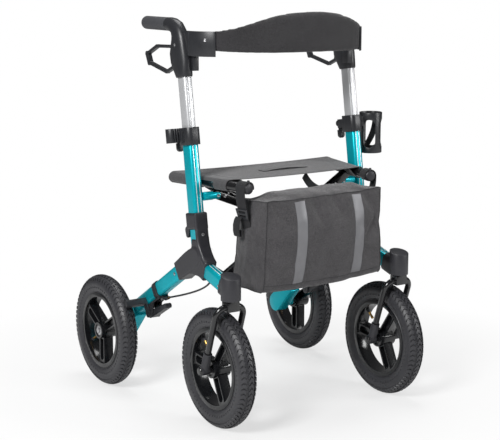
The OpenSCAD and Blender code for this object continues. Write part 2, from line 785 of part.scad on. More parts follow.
module inner_tube() {
    color(silver) on_upright(inner_start) difference() {
        linear_extrude(inner_len) tube_section(-tube_wall - slide_gap);
        translate([0, 0, -1]) linear_extrude(inner_len + 2) tube_section(-2 * tube_wall - slide_gap);
        front_grooves(tube_d - 2 * tube_wall - 2 * slide_gap, inner_len);
    }
}

housing_sides = 28;
seam_y = -2;
housing_drop = 129;
housing_low_h = (grip_z - housing_drop - sleeve_top[1]) / cos(lean);

function housing_ring(y, z, tilt, b, a, n = 2.5) = [for (j = [0:housing_sides - 1]) let (
    t = 360 * j / housing_sides, v = b * soft(sin(t), n))
    [frame_x + a * soft(cos(t), n), y + v * cos(tilt), z - v * sin(tilt)]];

function housing_rings() = let (low = lean_point(housing_low_h)) [
    housing_ring(low[0] + 1, low[1], lean, 23, 17),
    housing_ring(low[0] + 2, low[1] + 4, lean, 25, 18),
    housing_ring(low[0] + 8, low[1] + 18, lean, 30, 18.5),
    housing_ring(low[0] + 16, low[1] + 38, lean, 36, 19),
    housing_ring(low[0] + 21, low[1] + 60, lean, 36, 19),
    housing_ring(low[0] + 21, low[1] + 80, lean + 3, 31, 18.5),
    housing_ring(low[0] + 22, grip_z - 33, 14, 27, 18, 2.3),
    housing_ring(low[0] + 26, grip_z - 20, 30, 24, 17.5, 2.2),
    housing_ring(low[0] + 35, grip_z - 8, 50, 21, 17.3, 2.1),
    housing_ring(low[0] + 50, grip_z - 2, 70, 19, 17.2, 2),
    housing_ring(low[0] + 63, grip_z, 84, 17.6, 17.2, 2),
    housing_ring(seam_y, grip_z, 90, grip_r, grip_r, 2)];

lever_pivot = [lean_point(housing_low_h)[0] + 18, grip_z - 49];
slot_half = lever_w / 2 + 0.6;

module handle_housing() {
    top = inner_start + inner_len;
    color(black) difference() {
        union() {
            skin(housing_rings());
            translate([frame_x, seam_y, grip_z]) rotate([-90, 0, 0])
                cylinder(r = spigot_r, h = grip_len - 12);
        }
        on_upright(housing_low_h - 20) linear_extrude(top - housing_low_h + 20.2)
            tube_section(-tube_wall - slide_gap + 0.05);
        translate([frame_x - slot_half, lever_pivot[0] + 10, lever_pivot[1] - 90])
            cube([2 * slot_half, 80, 104]);
        translate([frame_x - slot_half, lever_pivot[0] - 12, lever_pivot[1] - 13])
            cube([2 * slot_half, 40, 26]);
        translate([frame_x - 30, lever_pivot[0], lever_pivot[1]]) rotate([0, 90, 0])
            cylinder(d = lever_bolt_d + 2 * fit_gap, h = 60);
    }
}

module grip() {
    round_r = 11;
    color(black) translate([frame_x, seam_y, grip_z]) rotate([-90, 0, 0]) difference() {
        rotate_extrude() union() {
            square([grip_r, grip_len - round_r]);
            square([grip_r - round_r, grip_len]);
            translate([grip_r - round_r, grip_len - round_r]) intersection() {
                circle(round_r);
                square(round_r);
            }
        }
        translate([0, 0, -1]) cylinder(r = spigot_r, h = grip_len - 11);
    }
}

// Trapezoid loop lever on a cross pin in the housing
lever_bar = 8;

module lever_run(p, q, w) {
    d = q - p;
    translate([frame_x - lever_w / 2, 0, 0]) rotate([90, 0, 90]) linear_extrude(lever_w)
        translate(p) rotate(atan2(d[1], d[0])) translate([0, -w / 2]) square([norm(d), w]);
}

// Round corner of the loop, a little wider than the bars so that they run into it
module lever_knuckle(p, w) {
    translate([frame_x - lever_w / 2, p[0], p[1]]) rotate([0, 90, 0]) cylinder(d = w + 0.8, h = lever_w);
}

module brake_lever() {
    top_in = lever_pivot + [26, -6];
    top_out = lever_pivot + [114, -9];
    nose_top = lever_pivot + [165, -31];
    nose_low = lever_pivot + [154, -54];
    low_out = lever_pivot + [66, -72];
    low_in = lever_pivot + [32, -58];
    color(black) {
        lever_run(lever_pivot, top_in, 13);
        lever_run(top_in, top_out, lever_bar);
        lever_run(top_out, nose_top, lever_bar);
        lever_run(nose_top, nose_low, lever_bar + 5);
        lever_run(nose_low, low_out, lever_bar);
        lever_run(low_out, low_in, lever_bar);
        lever_run(low_in, top_in, lever_bar + 2);
        lever_knuckle(lever_pivot, 16);
        for (p = [top_out, low_out, top_in, low_in]) lever_knuckle(p, lever_bar);
        for (p = [nose_top, nose_low]) lever_knuckle(p, lever_bar + 5);
        translate([frame_x - 16, lever_pivot[0], lever_pivot[1]]) rotate([0, 90, 0])
            cylinder(d = lever_bolt_d, h = 32);
    }
}

// Backrest: a bowed, padded cloth band held by two plastic end brackets
band_x = 251;
band_y = lean_point(housing_low_h)[0] - 11;
band_power = 2.6;
band_low = grip_z - 76;
end_turn = 82;

// Plan of the band's middle line, by the angle from straight ahead
function band_plan(a) = [band_x * soft(sin(a), band_power), band_y - band_bow * soft(cos(a), band_power)];
function band_normal(a) = let (d = band_plan(a + 0.5) - band_plan(a - 0.5)) [-d[1], d[0]] / norm(d);

// The pad's middle sits a little towards the user's left
pad_shift = 12;
function pad_share(a) = pow(max(0, cos(a - pad_shift)), 1.6);
function pad_half(a) = 3 + (pad_t / 2 - 3) * pad_share(a);

plate_from = 56;
bracket_plate = 4;
plate_seat = 0.3;

// The plate lies on the outside of the band's end: side is 1 on the left and -1 on the right
module backrest_bracket(side) {
    steps = 12;
    turns = [for (i = [0:steps]) plate_from + (90 - plate_from) * i / steps];
    inner_at = [for (a = turns) pad_half(side * a) + plate_seat];
    outer = [for (i = [0:steps]) band_plan(turns[i]) - (inner_at[i] + bracket_plate) * band_normal(turns[i])];
    inner = [for (i = [steps:-1:0]) band_plan(turns[i]) - inner_at[i] * band_normal(turns[i])];
    color(black) difference() {
        union() {
            translate([0, 0, band_low + 1]) linear_extrude(band_h + 2) polygon(concat(outer, inner));
            translate([frame_x - 13, band_y - 14, band_low + 2]) cube([16, 24, band_h]);
            translate([frame_x - 24, band_y - 19, band_low - 36]) cube([16, 22, 40]);
        }
        skin(housing_rings());
    }
}

pad_steps = 32;
pad_sides = 12;

// One ring of the band: thicker and taller towards the middle
function band_ring(a) = let (
    p = band_plan(a), n = band_normal(a), t = pad_half(a), h = (band_h + (pad_h - band_h) * pad_share(a)) / 2)
    [for (j = [0:pad_sides - 1]) let (c = 360 * j / pad_sides)
        [p[0] - t * soft(sin(c), 3) * n[0], p[1] - t * soft(sin(c), 3) * n[1],
            band_low + h + h * soft(cos(c), 4)]];

module backrest() {
    color(charcoal) skin([for (i = [0:pad_steps]) band_ring(-end_turn + 2 * end_turn * i / pad_steps)]);
}

// Cross arms of the fold, each welded to a lower tube on one side and a seat rail on the other
rail_front_y = node_y - 113;
rail_turn = atan(rail_splay);
rail_len = rail_run / cos(rail_turn);
rail_x = rail_front_x + rail_splay * ((arm_y_front + arm_y_rear) / 2 - rail_front_y);
arm_rise = rail_z - pivot_z;
arm_turn = atan2(arm_rise, pivot_x + rail_x);
arm_len = norm([pivot_x + rail_x, arm_rise]);
cross_z = pivot_z + pivot_x * tan(arm_turn);
pivot_over = 6;
pivot_len = lug_rear_y + lug_w - lug_front_y + 2 * pivot_over;

// Put local Y along the rail on the -X side, from its front end
module on_rail() {
    translate([-rail_front_x, rail_front_y, rail_z]) rotate([0, 0, rail_turn]) children();
}

module rail_bar(d, len, start = 0) {
    on_rail() translate([0, start, 0]) rotate([-90, 0, 0]) cylinder(d = d, h = len);
}

module cross_arm(plane_y) {
    color(black) difference() {
        union() {
            translate([pivot_x, lug_front_y - pivot_over, pivot_z]) rotate([-90, 0, 0])
                cylinder(d = pivot_d, h = pivot_len);
            difference() {
                translate([pivot_x, plane_y, pivot_z]) rotate([0, arm_turn - 90, 0])
                    linear_extrude(arm_len) stadium(arm_h, arm_t);
                translate([-rail_x - 40, plane_y - arm_t, rail_z]) cube([80, 2 * arm_t, 60]);
            }
            rail_bar(rail_d, rail_len);
        }
        rail_bar(rail_d - 5, rail_len + 2, -1);
        translate([0, plane_y - arm_t, cross_z]) rotate([-90, 0, 0])
            cylinder(d = cross_bolt_d + 2 * fit_gap, h = 2 * arm_t);
    }
}

// Caps on both ends of a rail, with a sleeve behind the front cap
end_sleeve = 25;

module rail_ends() {
    color(dark_grey) {
        on_rail() rotate([90, 0, 0]) rotate_extrude() polygon([[0, 0], [rail_d / 2 + 1.5, 0],
            [rail_d / 2 + 1.5, 7], [rail_d / 2 - 1, 10], [0, 11]]);
        on_rail() translate([0, -4.5, rail_d / 2]) cylinder(d = 7, h = 8);
        difference() {
            rail_bar(rail_d + 4, end_sleeve);
            rail_bar(rail_d, end_sleeve + 2, -1);
        }
        rail_bar(rail_d, 4, rail_len);
    }
}

module cross_bolt() {
    head = 6;
    y0 = arm_y_front - arm_t / 2;
    y1 = arm_y_rear + arm_t / 2;
    color(steel) {
        translate([0, y0 - head, cross_z]) rotate([-90, 0, 0]) cylinder(d = 18, h = head - 0.3);
        translate([0, y0 - head, cross_z]) rotate([-90, 0, 0])
            cylinder(d = cross_bolt_d, h = y1 - y0 + 2 * head);
        translate([0, arm_y_front + arm_t / 2 + 0.3, cross_z]) rotate([-90, 0, 0])
            cylinder(d = 24, h = arm_gap - 0.6);
        translate([0, y1 + 0.3, cross_z]) rotate([-90, 0, 0]) cylinder(d = 18, h = head - 0.3, $fn = 6);
    }
}

// Guide link between the upright's bracket and the cross arm that carries this side's rail
link_end = [link_s * cos(arm_turn), cross_z + link_s * sin(arm_turn)];

module guide_link(link_y, arm_side) {
    from = [bracket_x, bracket_z];
    d = link_end - from;
    stub = link_t / 2 + 2;
    color(black) translate([0, link_y, 0]) {
        translate([0, link_t / 2, 0]) rotate([90, 0, 0]) linear_extrude(link_t) union() {
            translate(from) circle(d = link_d);
            translate(link_end) circle(d = link_d);
            translate(from) rotate(atan2(d[1], d[0])) translate([0, -link_d / 2]) square([norm(d), link_d]);
        }
        translate([bracket_x, 0, bracket_z]) rotate([90, 0, 0])
            cylinder(d = link_pin_d, h = bracket_d - 1, center = true);
        translate([link_end[0], 0, link_end[1]]) rotate([90 * arm_side, 0, 0]) cylinder(d = 14, h = stub);
    }
}

// Cloth seat: a sagging sheet with a sleeve over each rail
seat_front = 58;
hem_gap = 0.3;
sleeve_t = 2.2;
hem_lap = 0.35;
seat_rows = 8;
seat_cols = 20;
seat_len = rail_len - seat_front - 2;

function seat_edge(s) = rail_front_x + (seat_front + s) * sin(rail_turn);
function seat_top(u) = rail_z + rail_d / 2 + hem_gap + sleeve_t - hem_lap - seat_sag * (1 - pow(abs(u), 2.4));

// One ring of the sheet across the seat, at distance s from its front hem
function seat_ring(s) = let (y = rail_front_y + (seat_front + s) * cos(rail_turn), e = seat_edge(s)) concat(
    [for (i = [0:seat_cols]) let (u = -1 + 2 * i / seat_cols) [u * e, y, seat_top(u)]],
    [for (i = [seat_cols:-1:0]) let (u = -1 + 2 * i / seat_cols) [u * e, y, seat_top(u) - seat_t]]);

module seat_hem() {
    difference() {
        rail_bar(rail_d + 2 * hem_gap + 2 * sleeve_t, seat_len, seat_front);
        rail_bar(rail_d + 2 * hem_gap, seat_len + 2, seat_front - 1);
        translate([-rail_x - 60, arm_y_front - arm_t / 2 - 3, rail_z - 40])
            cube([120, arm_y_rear - arm_y_front + arm_t + 6, 48]);
    }
}

module seat_sling() {
    color(charcoal) {
        skin([for (i = [0:seat_rows]) seat_ring(seat_len * i / seat_rows)], sheet = true);
        seat_hem();
        to_right() seat_hem();
    }
}

// Bag under the seat's front: a soft box with a sagging bottom
bag_front = node_y - 181;
bag_top = rail_z - 30;
bag_sides = 36;

function bag_ring(z, share, depth_share) = let (mid = bag_front + bag_d / 2)
    [for (j = [0:bag_sides - 1]) let (c = 360 * j / bag_sides)
        [bag_w / 2 * share * soft(cos(c), 9), mid + bag_d / 2 * depth_share * soft(sin(c), 7), z]];

module bag() {
    color(charcoal) skin([
        bag_ring(bag_top - bag_h - bag_sag, 0.72, 0.62), bag_ring(bag_top - bag_h - bag_sag * 0.6, 0.9, 0.86),
        bag_ring(bag_top - bag_h, 0.985, 0.97), bag_ring(bag_top - bag_h * 0.6, 1, 1),
        bag_ring(bag_top - bag_h * 0.25, 0.995, 0.985), bag_ring(bag_top - 14, 0.985, 0.95),
        bag_ring(bag_top, 0.97, 0.88)]);
}

// Webbing loops on the rail ends that carry the bag, with a buckle on each
strap_w = 24;
strap_t = 2.2;
strap_from = end_sleeve + 4;
strap_drop = 74;

module bag_strap() {
    loop_r = rail_d / 2 + hem_gap;
    difference() {
        rail_bar(2 * (loop_r + strap_t), strap_w, strap_from);
        rail_bar(2 * loop_r, strap_w + 2, strap_from - 1);
    }
    on_rail() translate([loop_r - 1.2, strap_from, -strap_drop])
        cube([strap_t, strap_w, strap_drop - loop_r / 2]);
    on_rail() translate([loop_r - 3.2, strap_from - 3, -54]) cube([5.1, strap_w + 6, 18]);
}

module bag_straps() {
    color(black) {
        bag_strap();
        to_right() bag_strap();
    }
}

front_turn = 5;
rear_turn = 30;

to_right() upright(link_y_right);  // right_upright
upright(link_y_left);  // left_upright
to_right() y_joint();  // right_y_joint
y_joint();  // left_y_joint
to_right() rear_leg();  // right_rear_leg
rear_leg();  // left_rear_leg
to_right() front_leg();  // right_front_leg
front_leg();  // left_front_leg
to_right() caster_housing();  // right_caster_housing
caster_housing();  // left_caster_housing
right_height_clamp();
left_height_clamp();
to_right() axle_block();  // right_axle_block
axle_block();  // left_axle_block
to_right() rear_axle();  // right_rear_axle
rear_axle();  // left_rear_axle
to_right() brake_bracket();  // right_brake_bracket
brake_bracket();  // left_brake_bracket
to_right() brake_cable();  // right_brake_cable
brake_cable();  // left_brake_cable
cup_holder();
to_right() inner_tube();  // right_inner_tube
inner_tube();  // left_inner_tube
to_right() handle_housing();  // right_handle_housing
handle_housing();  // left_handle_housing
to_right() grip();  // right_grip
grip();  // left_grip
to_right() backrest_bracket(-1);  // right_backrest_bracket
backrest_bracket(1);  // left_backrest_bracket
to_right() brake_lever();  // right_brake_lever
brake_lever();  // left_brake_lever
backrest();
to_right() clamp_lever();  // right_clamp_lever
clamp_lever();  // left_clamp_lever
to_right() brake_arm();  // right_brake_arm
brake_arm();  // left_brake_arm
to_right() fork();  // right_fork
fork();  // left_fork
to_right() fork_feet();  // right_fork_feet
fork_feet();  // left_fork_feet
to_right() front_axle();  // right_front_axle
front_axle();  // left_front_axle
wheel_at(-rear_x, rear_y, rear_turn) tyre();  // right_rear_tyre
wheel_at(-rear_x, rear_y, rear_turn) rim();  // right_rear_rim
wheel_at(rear_x, rear_y, rear_turn) tyre();  // left_rear_tyre
wheel_at(rear_x, rear_y, rear_turn) rim();  // left_rear_rim
wheel_at(-caster_x, front_y, front_turn) tyre();  // right_front_tyre
wheel_at(-caster_x, front_y, front_turn) rim();  // right_front_rim
wheel_at(caster_x, front_y, front_turn) tyre();  // left_front_tyre
wheel_at(caster_x, front_y, front_turn) rim();  // left_front_rim
to_right() cross_arm(arm_y_front);  // cross_arm_right
cross_arm(arm_y_rear);  // cross_arm_left
rail_ends();  // right_rail_ends
to_right() rail_ends();  // left_rail_ends
cross_bolt();
to_right() guide_link(link_y_right, -1);  // right_guide_link
guide_link(link_y_left, 1);  // left_guide_link
seat_sling();
bag();
bag_straps();
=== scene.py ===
import math

import bpy
from mathutils import Matrix, Vector, noise


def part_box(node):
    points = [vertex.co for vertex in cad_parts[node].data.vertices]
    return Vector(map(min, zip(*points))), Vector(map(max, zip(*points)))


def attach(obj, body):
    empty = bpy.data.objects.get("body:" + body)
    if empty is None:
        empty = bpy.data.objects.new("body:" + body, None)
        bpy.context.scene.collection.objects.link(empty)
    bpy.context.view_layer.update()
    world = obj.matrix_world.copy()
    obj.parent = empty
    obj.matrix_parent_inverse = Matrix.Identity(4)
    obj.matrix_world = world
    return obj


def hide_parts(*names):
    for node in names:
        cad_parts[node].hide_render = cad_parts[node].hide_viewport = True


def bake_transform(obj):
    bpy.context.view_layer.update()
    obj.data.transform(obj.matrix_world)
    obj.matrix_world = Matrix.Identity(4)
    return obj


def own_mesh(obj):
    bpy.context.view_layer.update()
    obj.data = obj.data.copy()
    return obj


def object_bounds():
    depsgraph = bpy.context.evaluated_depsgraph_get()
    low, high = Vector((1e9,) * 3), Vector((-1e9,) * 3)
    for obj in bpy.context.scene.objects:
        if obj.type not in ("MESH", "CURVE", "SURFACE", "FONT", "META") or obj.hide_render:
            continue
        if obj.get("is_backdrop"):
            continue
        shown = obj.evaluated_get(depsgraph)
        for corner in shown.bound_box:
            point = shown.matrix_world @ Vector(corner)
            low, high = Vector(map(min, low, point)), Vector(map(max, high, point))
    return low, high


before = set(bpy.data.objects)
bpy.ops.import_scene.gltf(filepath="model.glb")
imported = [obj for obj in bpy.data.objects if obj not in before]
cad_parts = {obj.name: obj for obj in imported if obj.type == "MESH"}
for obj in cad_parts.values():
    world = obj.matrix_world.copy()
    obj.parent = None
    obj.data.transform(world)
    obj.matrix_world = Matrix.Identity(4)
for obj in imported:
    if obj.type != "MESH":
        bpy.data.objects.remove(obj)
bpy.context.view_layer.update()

# Side frames
# Each side is an upright and two legs of drawn aluminium tube with rounded corners.
# They are painted in one glossy teal coat and pressed into a moulded node.

MM = 0.001
SIDES = {"right": -1, "left": 1}


def pick_only(piece):
    """Leave this one piece selected and active, in object mode."""
    bpy.ops.object.select_all(action="DESELECT")
    piece.select_set(True)
    bpy.context.view_layer.objects.active = piece


def new_object(name, data):
    """An object for a mesh, a curve, a lamp or a lens, linked into the scene."""
    piece = bpy.data.objects.new(name, data)
    bpy.context.collection.objects.link(piece)
    return piece


def open_edit(piece):
    """Open one piece in edit mode, with all of it selected."""
    pick_only(piece)
    bpy.ops.object.mode_set(mode="EDIT")
    bpy.ops.mesh.select_all(action="SELECT")


def close_edit():
    """Go from edit mode back to object mode."""
    bpy.ops.object.mode_set(mode="OBJECT")


def tone(red, green, blue):
    """A colour as it is read on a screen, 0 to 255, turned into the shader's own light values."""
    shares = [value / 255 for value in (red, green, blue)]
    return tuple(s / 12.92 if s < 0.04045 else ((s + 0.055) / 1.055) ** 2.4 for s in shares) + (1.0,)


def start_finish(name, **sockets):
    """A new material, with the values that are the same all over set on its shader."""
    finish = bpy.data.materials.new(name)
    finish.use_nodes = True
    shader = finish.node_tree.nodes["Principled BSDF"]
    for socket, value in sockets.items():
        shader.inputs[socket.replace("_", " ")].default_value = value
    return finish, finish.node_tree, shader


def wire(tree, kind, plugs, **settings):
    """One shader node, with its settings made and its inputs set or linked."""
    node = tree.nodes.new("ShaderNode" + kind)
    for key, value in settings.items():
        setattr(node, key, value)
    for socket, value in plugs.items():
        if isinstance(value, bpy.types.NodeSocket):
            tree.links.new(value, node.inputs[socket])
        else:
            node.inputs[socket].default_value = value
    return node


def start_group(name, inputs, outputs):
    """A shared effect: a node group with its named inputs and outputs."""
    group = bpy.data.node_groups.new(name, "ShaderNodeTree")
    for label, (kind, value) in inputs.items():
        socket = group.interface.new_socket(label, in_out="INPUT", socket_type="NodeSocket" + kind)
        socket.default_value = value
    for label, kind in outputs.items():
        group.interface.new_socket(label, in_out="OUTPUT", socket_type="NodeSocket" + kind)
    return group, group.nodes.new("NodeGroupInput").outputs, group.nodes.new("NodeGroupOutput").inputs


def mixed(tree, share, first, second):
    """A colour between two, by a share that changes over the surface."""
    node = wire(tree, "Mix", {0: share, 6: first, 7: second}, data_type="RGBA")
    return node.outputs[2]


def maths(tree, operation, first, second=0.0, third=0.0):
    """One sum on values that change over the surface."""
    return wire(tree, "Math", {0: first, 1: second, 2: third}, operation=operation).outputs[0]


# The slow drift of tone that any painted, moulded or woven piece shows
mottle, mottle_in, mottle_out = start_group(
    "mottle",
    {"Dark": ("Color", (0, 0, 0, 1)), "Light": ("Color", (1, 1, 1, 1)), "Scale": ("Float", 30.0)},
    {"Color": "Color", "Value": "Float"},
)
spot = wire(mottle, "TexCoord", {}).outputs["Object"]
drift = wire(mottle, "TexNoise", {"Vector": spot, "Scale": mottle_in["Scale"], "Detail": 5.0}).outputs[0]
mottle.links.new(mixed(mottle, drift, mottle_in["Dark"], mottle_in["Light"]), mottle_out["Color"])
mottle.links.new(drift, mottle_out["Value"])

# The fine skin of a moulded or sprayed surface, as small bumps
grain, grain_in, grain_out = start_group(
    "grain", {"Scale": ("Float", 1500.0), "Depth": ("Float", 0.0001)}, {"Normal": "Vector"}
)
spot = wire(grain, "TexCoord", {}).outputs["Object"]
skin = wire(grain, "TexNoise", {"Vector": spot, "Scale": grain_in["Scale"], "Detail": 3.0}).outputs[0]
bump = wire(grain, "Bump", {"Height": skin, "Distance": grain_in["Depth"], "Strength": 1.0})
grain.links.new(bump.outputs[0], grain_out["Normal"])


def effect(tree, group, **plugs):
    """Place a shared effect in a material with its own values."""
    node = tree.nodes.new("ShaderNodeGroup")
    node.node_tree = group
    for socket, value in plugs.items():
        node.inputs[socket].default_value = value
    return node


def grained_finish(name, dark, light, drift, grain_size, depth, rough, **sockets):
    """A finish with a slow drift of tone, a fine skin, and a gloss that changes with both."""
    finish, tree, shader = start_finish(name, **sockets)
    tones = effect(tree, mottle, Dark=dark, Light=light, Scale=drift)
    fine = effect(tree, grain, Scale=grain_size, Depth=depth)
    gloss = wire(tree, "MapRange", {0: tones.outputs["Value"], 3: rough[0], 4: rough[1]})
    tree.links.new(tones.outputs["Color"], shader.inputs["Base Color"])
    tree.links.new(gloss.outputs[0], shader.inputs["Roughness"])
    tree.links.new(fine.outputs["Normal"], shader.inputs["Normal"])
    return finish


def shaped(piece, kind, **settings):
    """Give a piece one modifier with its settings, and apply it."""
    pick_only(piece)
    step = piece.modifiers.new("step", kind)
    for key, value in settings.items():
        setattr(step, key, value)
    bpy.ops.object.modifier_apply(modifier=step.name)


def give_finish(piece, finish, angle=None):
    """Give a piece its one finish and shade it smooth, or smooth only up to an angle, in degrees."""
    pick_only(piece)
    piece.data.materials.clear()
    piece.data.materials.append(finish)
    if angle:
        bpy.ops.object.shade_smooth_by_angle(angle=math.radians(angle))
    else:
        bpy.ops.object.shade_smooth()


# Corners this close are welded, and faces that meet this flat are made one
WELD = 0.02 * MM
FLAT_ANGLE = math.radians(0.8)


def finished_copy(node, body, slot, finish, edge=0.6 * MM, sharp=32):
    """A CAD piece as it leaves the mould or the saw: welded, its edges rounded, and shaded smooth."""
    piece = new_object("finished_" + node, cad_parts[node].data.copy())
    pick_only(piece)
    if piece.data.has_custom_normals:
        bpy.ops.mesh.customdata_custom_splitnormals_clear()
    open_edit(piece)
    bpy.ops.mesh.remove_doubles(threshold=WELD)
    bpy.ops.mesh.dissolve_limited(angle_limit=FLAT_ANGLE)
    close_edit()
    if edge:
        shaped(
            piece, "BEVEL", width=edge, segments=2, limit_method="ANGLE", angle_limit=math.radians(sharp),
            use_clamp_overlap=False,
        )
    give_finish(piece, finish, sharp)
    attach(piece, body)
    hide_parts(node)
    return piece


def finished_pair(node, body, slot, finish, **edges):
    """The same CAD piece finished on both sides."""
    for side in SIDES:
        finished_copy(f"{side}_{node}", f"{side}_{body}", slot, finish, **edges)


teal_coat = grained_finish(
    "teal_coat", tone(0, 160, 174), tone(0, 175, 189), 18.0, 2600.0, 0.02 * MM, (0.28, 0.36),
    Metallic=0.45, Coat_Weight=0.1, Coat_Roughness=0.05, Specular_IOR_Level=0.25,
)
for tube in ("upright", "rear_leg", "front_leg"):
    finished_pair(tube, "frame", "teal_paint", teal_coat)

# Two pale lines up the front of each upright and along the top of each front leg are painted highlights,
# standing in for the light that the tubes' rounded corners catch.
painted_highlight_coat = grained_finish(
    "painted_highlight_coat", tone(226, 234, 235), tone(242, 247, 247), 60.0, 2600.0, 0.01 * MM, (0.2, 0.3),
    Metallic=0.2,
)
FRAME_X = 256 * MM
LINE_WIDTH = 1.8 * MM
LINE_RISE = 0.8 * MM
LINE_EDGE = 0.2 * MM
LINE_SHIFTS = {"inner": -5 * MM, "outer": 5 * MM}


def highlight_or_filler_bar(name, start, end, finish, body, width=LINE_WIDTH):
    """A long thin bar with rounded edges along a tube's face, used for the painted highlight lines and to
    fill grooves.
    """
    along = end - start
    bpy.ops.mesh.primitive_cube_add(size=1)
    bar = bpy.context.object
    bar.name = name
    bar.scale = (width, LINE_RISE, along.length)
    bpy.ops.object.transform_apply()
    shaped(bar, "BEVEL", width=LINE_EDGE, segments=2)
    turn = Matrix.Rotation(math.atan2(-along.y, along.z), 4, "X")
    bar.data.transform(Matrix.Translation((start + end) / 2) @ turn)
    give_finish(bar, finish, 35)
    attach(bar, body)


# Where each painted highlight line starts and ends, before it is moved out to its side
HIGHLIGHT_RUNS = {
    "upright_highlight": (Vector((0, -154.8, 492.4)) * MM, Vector((0, -117.9, 733.6)) * MM),
    "front_leg_highlight": (Vector((0, -199.0, 406.3)) * MM, Vector((0, -276.8, 383.8)) * MM),
}
# Each run gets two painted highlight lines on each side
for side, sign in SIDES.items():
    for name, (start, end) in HIGHLIGHT_RUNS.items():
        for place, reach in LINE_SHIFTS.items():
            shift = Vector((sign * (FRAME_X + reach), 0, 0))
            line = f"{side}_{name}_{place}"
            highlight_or_filler_bar(line, start + shift, end + shift, painted_highlight_coat, f"{side}_frame")

# Node castings
# A glass filled moulding joins the upright to the two legs and carries the fold pivots.
# It is screwed to the tubes from the side, and has a fine sparked grain.

dark_moulding = grained_finish(
    "dark_moulding", tone(40, 40, 44), tone(49, 49, 53), 40.0, 1800.0, 0.07 * MM, (0.34, 0.46),
    Specular_IOR_Level=0.45,
)


def slab(outline, half, rounding):
    """A flat body with rounded edges: an outline in the side view, given its thickness about x = 0."""
    line = bpy.data.curves.new("slab", "CURVE")
    line.dimensions = "2D"
    line.fill_mode = "BOTH"
    line.extrude = half - rounding
    line.bevel_depth = rounding
    line.offset = -rounding
    line.bevel_resolution = 4
    run = line.splines.new("BEZIER")
    run.bezier_points.add(len(outline) - 1)
    run.use_cyclic_u = True
    for knot, (depth, height, corner) in zip(run.bezier_points, outline):
        knot.co = (depth * MM, height * MM, 0)
        knot.handle_left_type = knot.handle_right_type = corner
    body = new_object("slab", line)
    pick_only(body)
    bpy.ops.object.convert(target="MESH")
    body = bpy.context.object
    body.data.transform(Matrix(((0, 0, 1, 0), (1, 0, 0, 0), (0, 1, 0, 0), (0, 0, 0, 1))))
    return body


def join_all(pieces):
    """Make one object of several, under the name of the first."""
    bpy.ops.object.select_all(action="DESELECT")
    for piece in pieces:
        piece.select_set(True)
    bpy.context.view_layer.objects.active = pieces[0]
    bpy.ops.object.join()
    return pieces[0]


def select_faces(piece, wanted):
    """Select in edit mode the faces that pass a test of their middle and normal."""
    close_edit()
    for part in (*piece.data.vertices, *piece.data.edges):
        part.select = False
    for face in piece.data.polygons:
        face.select = wanted(face.center, face.normal)
    bpy.context.tool_settings.mesh_select_mode = (False, False, True)
    bpy.ops.object.mode_set(mode="EDIT")


def cut_away(piece, wanted):
    """Delete the faces that pass a test of their middle and normal."""
    select_faces(piece, wanted)
    bpy.ops.mesh.delete(type="FACE")
    close_edit()


# The casting in the side view: each knot's depth, height and kind of corner
SLEEVE = (
    (-153.5, 532.7, "VECTOR"), (-105, 525.3, "VECTOR"), (-111.5, 483, "VECTOR"), (-159.9, 490.4, "VECTOR"),
)
FRONT_BAND = (
    (-153, 522, "VECTOR"), (-160.5, 486, "AUTO"), (-164, 468, "AUTO"), (-172, 446, "AUTO"),
    (-186, 426, "AUTO"), (-202, 412, "VECTOR"), (-194, 396, "VECTOR"), (-174, 416, "AUTO"),
    (-160, 440, "AUTO"), (-153, 464, "AUTO"), (-148, 500, "VECTOR"),
)
WEB = (
    (-162, 466, "VECTOR"), (-172, 446, "AUTO"), (-186, 426, "AUTO"), (-198, 411, "VECTOR"),
    (-184.5, 364.2, "VECTOR"), (-165, 371, "AUTO"), (-140, 372, "AUTO"), (-112, 376, "AUTO"),
    (-108, 410, "AUTO"), (-126, 432, "AUTO"), (-131, 463, "VECTOR"),
)
SHIELD = (
    (-136.1, 441.8, "AUTO"), (-154.4, 444.9, "AUTO"), (-169.9, 433.9, "AUTO"), (-172.8, 415, "AUTO"),
    (-161.9, 400.2, "AUTO"), (-71.7, 344.5, "VECTOR"), (-45.9, 386.2, "VECTOR"),
)
REAR_FOOT = (
    (-106, 490, "AUTO"), (-118, 490, "AUTO"), (-119, 470, "AUTO"), (-113, 463, "AUTO"),
    (-107.5, 469, "AUTO"),
)
# Each outline with its half thickness and the rounding of its edges, in mm
CAST_BODIES = ((SLEEVE, 19.4, 6), (FRONT_BAND, 19, 8), (WEB, 17, 4), (SHIELD, 20.5, 5), (REAR_FOOT, 18.6, 3))
# The lugs for the fold pivots are kept from the solid up to here, and the cast takes the place of the rest
LUG_END = 242.6 * MM
BORE_CENTRE = Vector((0, -130.8, 519.1)) * MM
BORE_SIZE = Vector((29.2, 40.2, 140)) * MM
BORE_LEAN = math.radians(-8.7)
cast = join_all([slab(outline, half * MM, rounding * MM) for outline, half, rounding in CAST_BODIES])
open_edit(cast)
bpy.ops.mesh.remove_doubles(threshold=WELD)
close_edit()
shaped(cast, "REMESH", mode="VOXEL", voxel_size=1.2 * MM)
shaped(cast, "SMOOTH", factor=0.5, iterations=8)
# The handle's inner tube slides down into the sleeve, so the cast has a bore for it
bpy.ops.mesh.primitive_cube_add(size=1, location=BORE_CENTRE, rotation=(BORE_LEAN, 0, 0), scale=BORE_SIZE)
bore = bpy.context.object
bpy.ops.object.transform_apply()
shaped(cast, "BOOLEAN", operation="DIFFERENCE", solver="EXACT", object=bore)
bpy.data.objects.remove(bore)
give_finish(cast, dark_moulding)
for side, sign in SIDES.items():
    node = finished_copy(f"{side}_y_joint", f"{side}_frame", "dark_plastic", dark_moulding, edge=1.0 * MM)
    cut_away(node, lambda spot, normal: abs(spot.x) > LUG_END)
    skin = new_object(f"{side}_cast", cast.data.copy())
    skin.data.transform(Matrix.Translation((sign * FRAME_X, 0, 0)))
    join_all([node, skin])
bpy.data.objects.remove(cast)


def placed_copy(source, name, place, body):
    """A copy with a mesh of its own, put in its place by a matrix and riding on a body."""
    piece = new_object(name, source.data.copy())
    piece.data.transform(place)
    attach(piece, body)
    return piece


